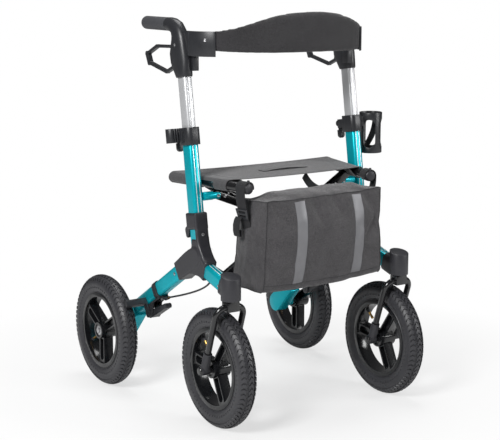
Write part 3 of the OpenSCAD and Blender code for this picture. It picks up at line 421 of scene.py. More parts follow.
def facing(spot, direction):
    """The place of a small part that stands on a spot and points its own z axis along a direction."""
    return Matrix.Translation(spot) @ Vector(direction).to_track_quat("Z", "Y").to_matrix().to_4x4()


def turned_blank(sides, radius, length):
    """A short round bar that stands on the origin, to be worked into a small turned part."""
    bpy.ops.mesh.primitive_cylinder_add(
        vertices=sides, radius=radius, depth=length, location=(0, 0, length / 2)
    )
    bpy.ops.object.transform_apply()
    return bpy.context.object


bright_steel = grained_finish(
    "bright_steel", tone(176, 176, 178), tone(206, 206, 208), 120.0, 900.0, 0.01 * MM, (0.22, 0.36),
    Metallic=1.0,
)
# The button head screw is turned once here, with its rounded rim and its socket, and copied to each place
HEAD_RADIUS = 4.2 * MM
HEAD_RISE = 1.4 * MM
SOCKET_DEPTH = 1.4 * MM
# From the rim inwards: how wide and how high each step of the head is, in mm
HEAD_STEPS = ((0.7, 0.55), (0.9, 0.3), (0.25, -0.1))
screw = turned_blank(24, HEAD_RADIUS, HEAD_RISE)
select_faces(screw, lambda spot, normal: normal.z > 0.9)
for width, rise in HEAD_STEPS:
    bpy.ops.mesh.inset(thickness=width * MM, depth=rise * MM)
bpy.ops.mesh.extrude_region_move(TRANSFORM_OT_translate={"value": (0, 0, -SOCKET_DEPTH)})
close_edit()
give_finish(screw, bright_steel, 35)

# Each screw's place and the way it faces on the left side, which the right side mirrors
FRAME_SCREWS = {
    "front_leg_screw": ((270.5, -257, 366), (1, 0, 0)),
    "rear_leg_screw": ((270.5, -43.5, 356), (1, 0, 0)),
    "node_screw": ((256.5, -162.2, 478), (0, -0.99, 0.15)),
}


def put_screws(screws, body):
    """Copy the screw to each place in a list, on both sides."""
    for side, sign in SIDES.items():
        for name, ((x, y, z), (out, back, up)) in screws.items():
            spot = Vector((sign * x, y, z)) * MM
            place = facing(spot, (sign * out, back, up))
            placed_copy(screw, f"{side}_{name}", place, f"{side}_{body}")


put_screws(FRAME_SCREWS, "frame")

# Caster housings
# The moulded head on each front leg holds the two bearings of the fork's stem.

finished_pair("caster_housing", "frame", "dark_plastic", dark_moulding, edge=1.2 * MM)

# Rear axle blocks
# A cast block on the end of each rear leg, painted as the frame is, holds the steel stub axle.

finished_pair("axle_block", "frame", "teal_paint", teal_coat, edge=1.2 * MM)
finished_pair("rear_axle", "frame", "steel", bright_steel, edge=0.4 * MM)

# Forks
# A bent steel tube in black powder coat straddles each front wheel.
# Moulded feet slide over its ends and hold the axle.

black_coat = grained_finish(
    "black_coat", tone(14, 14, 16), tone(21, 21, 23), 60.0, 2400.0, 0.03 * MM, (0.18, 0.28),
    Coat_Weight=0.4, Coat_Roughness=0.1,
)
finished_pair("fork", "caster", "black_metal", black_coat, edge=0.5 * MM)
finished_pair("fork_feet", "caster", "dark_plastic", dark_moulding, edge=0.9 * MM)
finished_pair("front_axle", "caster", "black_metal", black_coat, edge=0.4 * MM)

# Rims
# One moulded wheel centre with three double spokes, a bearing hub and a bed for the tyre.

black_moulding = grained_finish(
    "black_moulding", tone(15, 16, 18), tone(23, 24, 26), 40.0, 1800.0, 0.03 * MM, (0.12, 0.22),
    Specular_IOR_Level=0.55,
)
WHEELS = [f"{side}_{end}" for side in SIDES for end in ("front", "rear")]
for wheel in WHEELS:
    finished_copy(f"{wheel}_rim", f"{wheel}_wheel", "black_plastic", black_moulding, edge=0.7 * MM)

# Tyres
# Air filled tyres of about twelve inches, with small slanted tread blocks and ringed side walls.
# One is modelled and copied to each of the four rims.

TYRE_RADIUS = 152.5 * MM
TYRE_HALF = 26 * MM
TREAD_BARS = 66
TREAD_DEPTH = 2.6 * MM
BAR_SHARE = 0.76
BAR_WIDTH = 8.5 * MM
BAR_LEAN = math.radians(4.4)
SHOULDER_DEPTH = 14 * MM
GROOVE_FROM = 7 * MM
GROOVE_TO = 10 * MM
BEAD_DRAW = 0.35
# The raised rings of the side wall: from and to which radius, and how high, in mm
SIDE_RINGS = ((110, 113.5, 1.4), (121, 124.5, 1.2))
SIDE_WALL = 15 * MM

rubber = grained_finish(
    "rubber", tone(40, 40, 43), tone(54, 54, 58), 26.0, 700.0, 0.1 * MM, (0.38, 0.52),
    Specular_IOR_Level=0.5,
)


def from_axle(point):
    """How far a point of a wheel that stands at the origin is from its axle, along x."""
    return math.hypot(point.y, point.z)


def bar_share(point):
    """How far round its own bar and gap of the tread a point is, from 0 to 1."""
    return math.atan2(point.z, point.y) / (2 * math.pi) * TREAD_BARS % 1


bpy.ops.mesh.primitive_torus_add(
    major_segments=2 * TREAD_BARS, minor_segments=40, major_radius=TYRE_RADIUS - TYRE_HALF,
    minor_radius=TYRE_HALF - TREAD_DEPTH, rotation=(0, math.pi / 2, 0),
)
tyre = bpy.context.object
bpy.ops.object.transform_apply()
for vertex in tyre.data.vertices:
    # Every second line is moved round, so that the bars are wider than the gaps
    if 0.25 < bar_share(vertex.co) < 0.75:
        shift = (BAR_SHARE - 0.5) / TREAD_BARS * 2 * math.pi
        vertex.co = Matrix.Rotation(shift, 3, "X") @ vertex.co
select_faces(
    tyre, lambda spot, normal: from_axle(spot) > TYRE_RADIUS - SHOULDER_DEPTH
    and bar_share(spot) < BAR_SHARE and not GROOVE_FROM < abs(spot.x) < GROOVE_TO
)
bpy.ops.mesh.inset(thickness=0.5 * MM, depth=0.0)
bpy.ops.mesh.extrude_region_shrink_fatten(TRANSFORM_OT_shrink_fatten={"value": TREAD_DEPTH})
for low, high, rise in SIDE_RINGS:
    select_faces(
        tyre, lambda spot, normal: low * MM < from_axle(spot) < high * MM and abs(spot.x) > SIDE_WALL
    )
    bpy.ops.mesh.inset(thickness=0.4 * MM, depth=0.0)
    bpy.ops.mesh.extrude_region_shrink_fatten(TRANSFORM_OT_shrink_fatten={"value": rise * MM})
close_edit()
for vertex in tyre.data.vertices:
    # The beads are drawn in between the rim's flanges
    distance = from_axle(vertex.co)
    bead = max(0.0, TYRE_RADIUS - TYRE_HALF - distance)
    vertex.co.yz *= (distance - BEAD_DRAW * bead) / distance
    # The bars lean forwards and back in turn across the tread
    lean = BAR_LEAN * abs((vertex.co.x / BAR_WIDTH + 1) % 2 - 1)
    if from_axle(vertex.co) > TYRE_RADIUS - TYRE_HALF:
        vertex.co = Matrix.Rotation(lean, 3, "X") @ vertex.co
give_finish(tyre, rubber, 32)


def wheel_middle(wheel):
    """The middle of a wheel, from its tyre in the frame."""
    low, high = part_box(f"{wheel}_tyre")
    return (Vector(low) + Vector(high)) / 2


for wheel in WHEELS:
    place = Matrix.Translation(wheel_middle(wheel))
    piece = placed_copy(tyre, f"tyre_{wheel}", place, f"{wheel}_wheel")
    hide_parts(f"{wheel}_tyre")
bpy.data.objects.remove(tyre)

# Tyre valves
# A rubber root in the rim's bed carries a brass stem with its cap.
# One is turned from a cylinder and copied into each rim.

brass = grained_finish(
    "brass", tone(176, 138, 72), tone(204, 168, 98), 200.0, 1500.0, 0.02 * MM, (0.25, 0.4), Metallic=1.0
)
ROOT_RADIUS = 5 * MM
ROOT_RISE = 4 * MM
# Going up the valve: how much narrower and how high each step is, in mm, and 0 for rubber or 1 for brass
VALVE_STEPS = ((1.4, 6, 0), (0.5, 1, 1), (0.0, 11, 1), (-0.6, 0.4, 1), (0.0, 7, 1))
VALVE_TURN = {"front": math.radians(138), "rear": math.radians(210)}
valve = turned_blank(20, ROOT_RADIUS, ROOT_RISE)
valve.data.materials.append(rubber)
valve.data.materials.append(brass)
top = ROOT_RISE
for narrow, rise, kind in VALVE_STEPS:
    select_faces(valve, lambda spot, normal: spot.z > top - 0.1 * MM)
    bpy.ops.mesh.extrude_region_move(TRANSFORM_OT_translate={"value": (0, 0, rise * MM)})
    close_edit()
    top += rise * MM
    ring = [v for v in valve.data.vertices if v.co.z > top - 0.1 * MM]
    size = ring[0].co.xy.length
    for v in ring:
        v.co.xy *= (size - narrow * MM) / size
    for face in valve.data.polygons:
        if face.center.z > top - rise * MM:
            face.material_index = kind
bpy.ops.object.shade_smooth_by_angle(angle=math.radians(35))
RIM_BED = 92.5 * MM
for wheel in WHEELS:
    turn = VALVE_TURN["front" if "front" in wheel else "rear"]
    outwards = Vector((0, -math.cos(turn), math.sin(turn)))
    place = facing(wheel_middle(wheel) + RIM_BED * outwards, -outwards)
    placed_copy(valve, f"valve_{wheel}", place, f"{wheel}_wheel")
bpy.data.objects.remove(valve)

# Brakes
# A moulded bracket on the rear leg, a pivoting arm with its brake shoe, and a sheathed cable from the node.

cable_skin = grained_finish(
    "cable_skin", tone(30, 30, 32), tone(40, 40, 42), 80.0, 2500.0, 0.02 * MM, (0.3, 0.4)
)
satin_moulding = grained_finish(
    "satin_moulding", tone(33, 34, 37), tone(42, 43, 46), 40.0, 1800.0, 0.05 * MM, (0.3, 0.42),
    Specular_IOR_Level=0.45,
)
finished_pair("brake_bracket", "frame", "black_plastic", satin_moulding, edge=0.8 * MM)
finished_pair("brake_arm", "brake", "black_plastic", satin_moulding, edge=0.6 * MM)
finished_pair("brake_cable", "frame", "cable_sheath", cable_skin, edge=0)

# A knurled brass barrel takes up the slack where each cable enters its bracket
BARREL_RADIUS = 3.9 * MM
BARREL_LENGTH = 6 * MM
barrel = turned_blank(24, BARREL_RADIUS, BARREL_LENGTH)
select_faces(barrel, lambda spot, normal: abs(normal.z) < 0.1)
bpy.ops.mesh.inset(thickness=0.25 * MM, depth=-0.35 * MM, use_individual=True)
select_faces(barrel, lambda spot, normal: normal.z > 0.9 and spot.z > BARREL_LENGTH - 0.1 * MM)
bpy.ops.mesh.inset(thickness=1.0 * MM, depth=0.5 * MM)
bpy.ops.mesh.extrude_region_move(TRANSFORM_OT_translate={"value": (0, 0, BARREL_LENGTH)})
close_edit()
give_finish(barrel, brass, 30)
CABLE_END = Vector((0, 19, 277.3)) * MM
CABLE_WAY = (0, -0.93, 0.37)
for side, sign in SIDES.items():
    spot = CABLE_END + Vector((sign * FRAME_X, 0, 0))
    placed_copy(barrel, f"{side}_adjuster", facing(spot, CABLE_WAY), f"{side}_frame")
bpy.data.objects.remove(barrel)

# Height clamps and cup holder
# A moulded clamp with a quick lever closes each upright on its inner tube.
# The left one carries an open holder for a bottle, with a curved band at its back.

finished_pair("height_clamp", "frame", "black_plastic", satin_moulding, edge=0.8 * MM)
finished_pair("clamp_lever", "clamp", "black_plastic", satin_moulding, edge=0.8 * MM)
finished_copy("cup_holder", "left_frame", "black_plastic", satin_moulding, edge=0.6 * MM)


def new_grid(name, columns, rows):
    """A flat grid from -1 to 1 both ways, to be bent into a sheet or a plate."""
    bpy.ops.mesh.primitive_grid_add(x_subdivisions=columns, y_subdivisions=rows, size=2)
    piece = bpy.context.object
    piece.name = name
    return piece


# The band runs down the back of the holder's wall, from its outer side at the top to its inner side
CUP_OUTER = 31 * MM
CUP_RADIUS = 29.4 * MM
BAND_TOP_TURN = math.radians(23)
BAND_SWEEP = math.radians(62)
BAND_HALF_TURN = math.radians(17)
BAND_FOOT = Vector((0, 0, 6 * MM))
BAND_RISE = Vector((0, 0, 98 * MM))
BAND_THICK = 2.2 * MM
cup_low, cup_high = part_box("cup_holder")
cup_centre = Vector((cup_high.x - CUP_OUTER, (cup_low.y + cup_high.y) / 2, cup_low.z))
cup_band = new_grid("cup_band", 8, 24)
for vertex in cup_band.data.vertices:
    height = (vertex.co.y + 1) / 2
    turn = BAND_TOP_TURN + BAND_SWEEP * (1 - height) ** 2.2 + BAND_HALF_TURN * vertex.co.x
    out = Vector((math.cos(turn), math.sin(turn), 0)) * CUP_RADIUS
    vertex.co = cup_centre + out + BAND_FOOT + height * BAND_RISE
shaped(cup_band, "SOLIDIFY", thickness=BAND_THICK, offset=0)
give_finish(cup_band, satin_moulding, 40)
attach(cup_band, "left_frame")

# Handles
# An anodised inner tube slides in the upright and carries a moulded handle head.
# The head holds a soft grip, the brake lever and the backrest's bracket.

bright_tube = grained_finish(
    "bright_tube", tone(186, 187, 189), tone(204, 205, 207), 14.0, 1200.0, 0.01 * MM, (0.26, 0.36),
    Metallic=0.4,
)
soft_grip = grained_finish(
    "soft_grip", tone(54, 55, 58), tone(65, 66, 69), 50.0, 1500.0, 0.1 * MM, (0.5, 0.65),
    Specular_IOR_Level=0.4,
)
finished_pair("inner_tube", "handle", "silver_tube", bright_tube)
finished_pair("handle_housing", "handle", "black_plastic", satin_moulding, edge=0, sharp=50)
finished_pair("grip", "handle", "grip_rubber", soft_grip, edge=0.8 * MM)
finished_pair("brake_lever", "lever", "black_plastic", satin_moulding, edge=1.0 * MM)
finished_pair("backrest_bracket", "handle", "black_plastic", satin_moulding, edge=0.6 * MM)
# A slim bar fills each groove of the inner tubes
GROOVE_WIDTH = 2.6 * MM
GROOVE_RUN = (Vector((0, -123.9, 679.9)) * MM, Vector((0, -94.9, 869.7)) * MM)
for side, sign in SIDES.items():
    for place, reach in LINE_SHIFTS.items():
        start, end = (spot + Vector((sign * (FRAME_X + reach), 0, 0)) for spot in GROOVE_RUN)
        line = f"{side}_tube_line_{place}"
        highlight_or_filler_bar(line, start, end, bright_tube, f"{side}_handle", GROOVE_WIDTH)
HANDLE_SCREWS = {
    "bracket_screw": ((241.2, -151.9, 960), (0.8, -0.6, 0)),
    "lever_bolt": ((272.6, -60, 945), (1, 0, 0)),
}
put_screws(HANDLE_SCREWS, "handle")

# Folding cross
# Two powder coated arms cross on one bolt, and each carries a seat rail with a moulded end.
# Short links between the arms and the side frames guide the rails.

for side, other in (("right", "left"), ("left", "right")):
    finished_copy(f"cross_arm_{side}", f"{side}_arm", "black_metal", black_coat, edge=0.6 * MM)
    finished_copy(f"{other}_rail_ends", f"{side}_arm", "dark_plastic", dark_moulding, edge=0.8 * MM)
finished_pair("guide_link", "link", "black_metal", black_coat, edge=0.5 * MM)
finished_copy("cross_bolt", "right_arm", "steel", bright_steel, edge=0.4 * MM)
# Pivot bolts of the links, the rivets beside them, and the rivets on the arms
CROSS_SCREWS = {
    "right_pivot_bolt": ((-203, -150.6, 570), "right_frame"),
    "left_pivot_bolt": ((203, -137.6, 570), "left_frame"),
    "right_link_rivet": ((-180, -145.6, 566), "right_link"),
    "left_link_rivet": ((180, -132.6, 566), "left_link"),
    "right_arm_rivet": ((162, -153.1, 568), "right_arm"),
    "left_arm_rivet": ((-162, -131.1, 568), "left_arm"),
}
for name, (spot, body) in CROSS_SCREWS.items():
    placed_copy(screw, name, facing(Vector(spot) * MM, (0, -1, 0)), body)
bpy.data.objects.remove(screw)

# Backrest
# A foam pad in a sewn cover of charcoal cloth, bowed between the two brackets.
# It is filled out by simulation, and then drawn up to its swell in the middle.

weave, weave_in, weave_out = start_group(
    "weave",
    {
        "Dark": ("Color", (0, 0, 0, 1)),
        "Light": ("Color", (1, 1, 1, 1)),
        "Threads": ("Float", 1400.0),
        "Depth": ("Float", 0.0002),
    },
    {"Color": "Color", "Normal": "Vector", "Value": "Float"},
)
spot = wire(weave, "TexCoord", {}).outputs["Object"]
across, along, upwards = wire(weave, "SeparateXYZ", {0: spot}).outputs
pitch = maths(weave, "MULTIPLY", weave_in["Threads"], 2 * math.pi)
warp_at = maths(weave, "MULTIPLY_ADD", along, 0.7, across)
weft_at = maths(weave, "MULTIPLY_ADD", along, 0.7, upwards)
warp = maths(weave, "SINE", maths(weave, "MULTIPLY", warp_at, pitch))
weft = maths(weave, "SINE", maths(weave, "MULTIPLY", weft_at, pitch))
thread = maths(weave, "MULTIPLY_ADD", maths(weave, "MULTIPLY", warp, weft), 0.5, 0.5)
heather = wire(weave, "TexNoise", {"Vector": spot, "Scale": 420.0, "Detail": 5.0}).outputs[0]
heather = maths(weave, "MULTIPLY_ADD", heather, 2.2, -0.75)
patch = wire(weave, "TexNoise", {"Vector": spot, "Scale": 22.0, "Detail": 3.0}).outputs[0]
shade = maths(weave, "MULTIPLY_ADD", patch, 0.5, maths(weave, "MULTIPLY_ADD", heather, 0.8, -0.2))
shade = wire(weave, "Clamp", {0: maths(weave, "MULTIPLY_ADD", thread, 0.25, shade)}).outputs[0]
bump = wire(weave, "Bump", {"Height": thread, "Distance": weave_in["Depth"], "Strength": 0.8})
weave.links.new(mixed(weave, shade, weave_in["Dark"], weave_in["Light"]), weave_out["Color"])
weave.links.new(bump.outputs[0], weave_out["Normal"])
weave.links.new(shade, weave_out["Value"])


def cloth_finish(name, dark, light, threads, depth, rough=(0.82, 0.95), sheen=0.25):
    """A woven polyester finish, with its heather of darker and lighter threads."""
    finish, tree, shader = start_finish(
        name, Specular_IOR_Level=0.2, Sheen_Weight=sheen, Sheen_Roughness=0.5
    )
    threads = effect(tree, weave, Dark=dark, Light=light, Threads=threads, Depth=depth)
    gloss = wire(tree, "MapRange", {0: threads.outputs["Value"], 3: rough[0], 4: rough[1]})
    tree.links.new(threads.outputs["Color"], shader.inputs["Base Color"])
    tree.links.new(gloss.outputs[0], shader.inputs["Roughness"])
    tree.links.new(threads.outputs["Normal"], shader.inputs["Normal"])
    return finish


SETTLE_FRAMES = 20


def fill_out(piece, pressure, most, spare=0.0):
    """Fill a closed cloth form by simulation, with cloth to spare, and keep each move within a limit."""
    rest = [vertex.co.copy() for vertex in piece.data.vertices]
    cloth = piece.modifiers.new("cloth", "CLOTH")
    cloth.settings.quality = 6
    cloth.settings.tension_stiffness = 20
    cloth.settings.compression_stiffness = 20
    cloth.settings.shear_stiffness = 8
    cloth.settings.bending_stiffness = 2.0
    cloth.settings.use_pressure = True
    cloth.settings.uniform_pressure_force = pressure
    cloth.settings.shrink_min = -spare
    cloth.settings.effector_weights.gravity = 0
    cloth.collision_settings.use_collision = False
    for step in range(SETTLE_FRAMES):
        bpy.context.scene.frame_set(step + 1)
    pick_only(piece)
    bpy.ops.object.modifier_apply(modifier="cloth")
    bpy.context.scene.frame_set(1)
    moves = [vertex.co - place for vertex, place in zip(piece.data.vertices, rest)]
    share = min(1.0, most / max(move.length for move in moves))
    for vertex, place, move in zip(piece.data.vertices, rest, moves):
        vertex.co = place + share * move


BACK_HALF = 251 * MM
BACK_LOW = 918 * MM
BACK_TRIM = 3 * MM
BACK_SLOPE = 11 * MM
PAD_FOOT = 980 * MM
PAD_SWELL = 45 * MM
# Where the swell is highest round the bow, and how far it spreads to each side, in degrees
SWELL_AT = 6
SWELL_RIGHT = 36
SWELL_LEFT = 46
COLUMNS = 40
LAST_COLUMN = 0.999 * COLUMNS


def column_of(point):
    """Where a point lies among the columns across the band, from its right end to its left."""
    return min(max((point.x / BACK_HALF + 1) / 2, 0), 1) * COLUMNS


def band_shape(point, tops):
    """Move a point of the band to the pad's own outline, given how high the band is at each column."""
    turn = math.copysign(math.asin(min(1.0, abs(point.x / BACK_HALF)) ** 1.3), point.x)
    place = min(column_of(point), LAST_COLUMN)
    before = int(place)
    top = tops[before] + (place - before) * (tops[before + 1] - tops[before])
    share = (point.z - BACK_LOW) / (top - BACK_LOW)
    away = math.degrees(turn) - SWELL_AT
    spread = SWELL_LEFT if away > 0 else SWELL_RIGHT
    high = PAD_FOOT + PAD_SWELL * math.exp(-((away / spread) ** 2))
    low = BACK_LOW + BACK_TRIM + BACK_SLOPE * max(0.0, -turn)
    return Vector((point.x, point.y, low + share * (high - low)))


band_cloth = cloth_finish("band_cloth", tone(30, 29, 31), tone(60, 59, 61), 900.0, 0.25 * MM)
backrest = finished_copy("backrest", "right_handle", "charcoal_cloth", band_cloth, edge=0, sharp=60)
shaped(backrest, "REMESH", mode="VOXEL", voxel_size=5 * MM)
fill_out(backrest, 4.0, 4 * MM)
shaped(backrest, "SUBSURF", levels=1, render_levels=1)
bpy.ops.object.shade_smooth()
heights = [[] for column in range(COLUMNS + 1)]
for vertex in backrest.data.vertices:
    heights[round(column_of(vertex.co))].append(vertex.co.z)
tops = [max(column) for column in heights]
for vertex in backrest.data.vertices:
    vertex.co = band_shape(vertex.co, tops)
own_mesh(backrest)

# Seat
# One ribbed sheet of coated cloth, wrapped round both rails and sewn back on itself in deep hems.
# Rows of stitches hold its folded edges.

RAIL_START = Vector((190 * MM, -262 * MM, 602 * MM))
RAIL_TURN = math.atan(0.21)
SEAT_FROM = 58 * MM
SEAT_TO = 267 * MM
SEAT_SAG = 3 * MM
HEM_RADIUS = 14.0 * MM
# How far the hem goes round the rail, in degrees, and how far its sewn tail reaches back
HEM_WRAP = 200
TAIL_REACH = 34 * MM
TAIL_GAP = 2.2 * MM
# Up to which share of the way across the cut the sheet is flat, and up to which it goes round the rail
FLAT_SHARE = 0.7
HEM_SHARE = 0.9


def seat_top(share):
    """How high the sheet is at a share of the way from its middle to a rail."""
    return RAIL_START.z + HEM_RADIUS - SEAT_SAG * (1 - share**2.4)


def hem_place(edge, depth, wrap):
    """A point of the hem, so many degrees round the rail from its top."""
    turn = math.radians(90 - wrap)
    out = edge + HEM_RADIUS * math.cos(turn)
    return Vector((out, depth, RAIL_START.z + HEM_RADIUS * math.sin(turn)))


def seat_place(way, run):
    """A point of the sheet: way goes from -1 to 1 across it, tails and all, and run from front to back."""
    reach = SEAT_FROM + run * (SEAT_TO - SEAT_FROM)
    edge = RAIL_START.x + reach * math.sin(RAIL_TURN)
    depth = RAIL_START.y + reach * math.cos(RAIL_TURN)
    share = abs(way)
    if share < FLAT_SHARE:
        across = share / FLAT_SHARE
        place = Vector((edge * across, depth, seat_top(across)))
    elif share < HEM_SHARE:
        place = hem_place(edge, depth, HEM_WRAP * (share - FLAT_SHARE) / (HEM_SHARE - FLAT_SHARE))
    else:
        sewn = Vector((edge - TAIL_REACH, depth, seat_top(1 - TAIL_REACH / edge) - TAIL_GAP))
        place = hem_place(edge, depth, HEM_WRAP).lerp(sewn, (share - HEM_SHARE) / (1 - HEM_SHARE))
    return Vector((math.copysign(place.x, way), place.y, place.z))


seat_cloth, tree, shader = start_finish(
    "seat_cloth", Specular_IOR_Level=0.25, Sheen_Weight=0.2, Sheen_Roughness=0.5
)
threads = effect(
    tree, weave, Dark=tone(50, 49, 51), Light=tone(86, 85, 86), Threads=1100.0, Depth=0.15 * MM
)
spot = wire(tree, "TexCoord", {}).outputs["Object"]
stretch = wire(tree, "Mapping", {"Vector": spot, "Scale": (6.0, 260.0, 40.0)}).outputs[0]
ribs = wire(tree, "TexNoise", {"Vector": stretch, "Scale": 1.0, "Detail": 3.0}).outputs[0]
ribs = wire(tree, "MapRange", {0: ribs, 1: 0.35, 2: 0.65, 3: 0.0, 4: 1.0}).outputs[0]
shaded = mixed(tree, maths(tree, "MULTIPLY", ribs, 0.35), threads.outputs["Color"], tone(60, 60, 62))
tree.links.new(shaded, shader.inputs["Base Color"])
gloss = wire(tree, "MapRange", {0: ribs, 3: 0.6, 4: 0.8})
tree.links.new(gloss.outputs[0], shader.inputs["Roughness"])
tree.links.new(threads.outputs["Normal"], shader.inputs["Normal"])

seat = new_grid("seat_sheet", 100, 36)
for vertex in seat.data.vertices:
    vertex.co = seat_place(vertex.co.x, (vertex.co.y + 1) / 2)
# Each hem is cut out under its rail, where the arm meets the rail
ARM_FRONT = -158 * MM
ARM_BACK = -108 * MM
ARM_INSIDE = 170 * MM
ARM_TOP = RAIL_START.z + 7 * MM
cut_away(
    seat, lambda spot, normal: ARM_FRONT < spot.y < ARM_BACK and abs(spot.x) > ARM_INSIDE
    and spot.z < ARM_TOP
)
shaped(seat, "SOLIDIFY", thickness=1.5 * MM, offset=0)
# The front and back edges are folded over twice, so they stand a little proud
FOLD_OVER = 13 * MM
FOLD_RISE = 0.9 * MM
front = RAIL_START.y + SEAT_FROM * math.cos(RAIL_TURN)
back = RAIL_START.y + SEAT_TO * math.cos(RAIL_TURN)
for vertex in seat.data.vertices:
    if min(vertex.co.y - front, back - vertex.co.y) < FOLD_OVER and vertex.co.z > RAIL_START.z + 3 * MM:
        vertex.co.z += FOLD_RISE
give_finish(seat, seat_cloth, 40)
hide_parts("seat_sling")


def bend_with_arms(piece):
    """Bake the piece's placing into its mesh."""
    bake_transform(piece)


bend_with_arms(seat)


def stitch_row(name, points, finish, body, long=3.2 * MM, gap=1.7 * MM, thick=0.42 * MM):
    """A row of raised, pointed stitches along a line of points. It rides on a body if one is given."""
    steps = [0.0]
    for first, second in zip(points, points[1:]):
        steps.append(steps[-1] + (second - first).length)

    def along_line(reach):
        for step in range(1, len(points)):
            if reach <= steps[step]:
                share = (reach - steps[step - 1]) / (steps[step] - steps[step - 1])
                return points[step - 1].lerp(points[step], share)
        return points[-1]

    corners = []
    faces = []
    for number in range(int(steps[-1] / (long + gap))):
        start = along_line(number * (long + gap))
        end = along_line(number * (long + gap) + long)
        way = (end - start).normalized()
        rise = Vector((0, 0, 1)) if abs(way.z) < 0.7 else Vector((0, -1, 0))
        beside = way.cross(rise).normalized()
        base = len(corners)
        corners.append(start)
        for share in (0.25, 0.75):
            middle = start.lerp(end, share)
            corners += [middle + thick * way_out for way_out in (rise, beside, -rise, -beside)]
        corners.append(end)
        for k in range(4):
            after = (k + 1) % 4
            faces.append((base, base + 1 + after, base + 1 + k))
            faces.append((base + 1 + k, base + 1 + after, base + 5 + after, base + 5 + k))
            faces.append((base + 9, base + 5 + k, base + 5 + after))
    mesh = bpy.data.meshes.new(name)
    mesh.from_pydata(corners, [], faces)
    piece = new_object(name, mesh)
    open_edit(piece)
    bpy.ops.mesh.normals_make_consistent(inside=False)
    close_edit()
    give_finish(piece, finish)
    if body:
        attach(piece, body)
    return piece


thread = cloth_finish("thread", tone(84, 84, 87), tone(112, 112, 115), 2200.0, 0.1 * MM, (0.5, 0.7), 0.1)
HEM_STITCH = 0.59
PROUD = Vector((0, 0, 1.0 * MM))
ways = [-FLAT_SHARE + 0.02 * step for step in range(71)]
runs = [0.04 * step for step in range(26)]
seat_rows = {
    "seat_front_stitches": [seat_place(way, 0.05) + 1.8 * PROUD for way in ways],
    "seat_back_stitches": [seat_place(way, 0.95) + 1.8 * PROUD for way in ways],
    "seat_right_stitches": [seat_place(-HEM_STITCH, run) + PROUD for run in runs],
    "seat_left_stitches": [seat_place(HEM_STITCH, run) + PROUD for run in runs],
}
for name, points in seat_rows.items():
    bend_with_arms(stitch_row(name, points, thread, None))

# Bag
# A box of charcoal cloth, sewn from panels with a raised seam at each corner and two reflective tapes.
# It hangs from the rail ends, and its panels bulge and wrinkle between the seams.

BAG_SIZE = Vector((360, 132, 228)) * MM
CLOTH_STEP = 6 * MM
BAG_CORNERS = {
    (0, 0, 0): (-179, -318, 346), (1, 0, 0): (187, -318, 355),
    (0, 0, 1): (-168, -318, 573), (1, 0, 1): (182, -318, 579),
    (0, 1, 0): (-186, -187, 346), (1, 1, 0): (189, -187, 352),
    (0, 1, 1): (-176, -204, 566), (1, 1, 1): (180, -204, 570),
}
# How far the cloth stands off its flat panels, in mm
FRONT_BULGE = 16
SIDE_BULGE = 6
TOP_CROWN = 15
FOOT_SAG = 11
FOOT_ROLL = 11
SEAM_PINCH = 2.5
CREASE = 3
SIDE_CREASE = 4
# Soft folds in the front panel: both ends as shares of its width and height, and the depth in mm
FOLDS = (
    ((0.02, 0.97), (0.22, 0.68), 8.0),
    ((0.40, 0.98), (0.47, 0.62), 9.0),
    ((0.57, 0.98), (0.66, 0.70), 7.0),
    ((0.86, 0.96), (0.98, 0.66), 9.0),
    ((0.97, 0.75), (0.82, 0.42), 6.0),
    ((0.04, 0.80), (0.07, 0.38), 6.0),
    ((0.10, 0.14), (0.26, 0.36), 5.0),
    ((0.34, 0.32), (0.55, 0.12), 5.0),
    ((0.84, 0.28), (0.98, 0.12), 6.0),
)
FOLD_WIDTH = 10 * MM
SEAM_HEIGHT = 3 / 38


def nearest_on(spot, start, end):
    """The share of a straight stretch that lies nearest to a point, and how far away it is."""
    along = end - start
    share = min(1.0, max(0.0, (spot - start).dot(along) / along.length_squared))
    return share, (spot - start - share * along).length


def fold_depth(across, height):
    """How deep the folds of the front panel are at a point."""
    spot = Vector((across * BAG_SIZE.x, height * BAG_SIZE.z))
    depth = 0.0
    for (first_x, first_z), (last_x, last_z), deepest in FOLDS:
        start = Vector((first_x * BAG_SIZE.x, first_z * BAG_SIZE.z))
        end = Vector((last_x * BAG_SIZE.x, last_z * BAG_SIZE.z))
        share, away = nearest_on(spot, start, end)
        swell = math.sin(math.pi * (0.12 + 0.88 * share))
        depth += deepest * swell * math.exp(-((away / FOLD_WIDTH) ** 2))
    return depth * MM


def bag_place(across, depth, height):
    """A point of the hanging bag, from its shares of width, depth and height."""
    place = Vector()
    for corner, spot in BAG_CORNERS.items():
        weight = 1.0
        for share, end in zip((across, depth, height), corner):
            weight *= share if end else 1 - share
        place += weight * Vector(spot)
    wide = 4 * across * (1 - across)
    deep = 4 * depth * (1 - depth)
    tall = math.sin(math.pi * height**1.45)
    rolled = max(0.0, 1 - height / SEAM_HEIGHT)
    pinched = math.exp(-(((height - SEAM_HEIGHT) / 0.025) ** 2))
    crumple = noise.noise(Vector((across * 7, depth * 3 + 5, height * 4)))
    crumple += 0.5 * noise.noise(Vector((across * 15, depth * 7 + 9, height * 9)))
    front = FRONT_BULGE * wide**0.6 * tall - FOOT_ROLL * rolled**2 - SEAM_PINCH * pinched + CREASE * crumple
    crown = TOP_CROWN * deep * min(1, wide / 0.5) ** 2
    place.x += (2 * across - 1) * deep * (SIDE_BULGE * tall + SIDE_CREASE * crumple)
    place.y -= (1 - depth) * front
    place.z += height * (crown + CREASE * crumple) - FOOT_SAG * (1 - height) * wide
    return place * MM


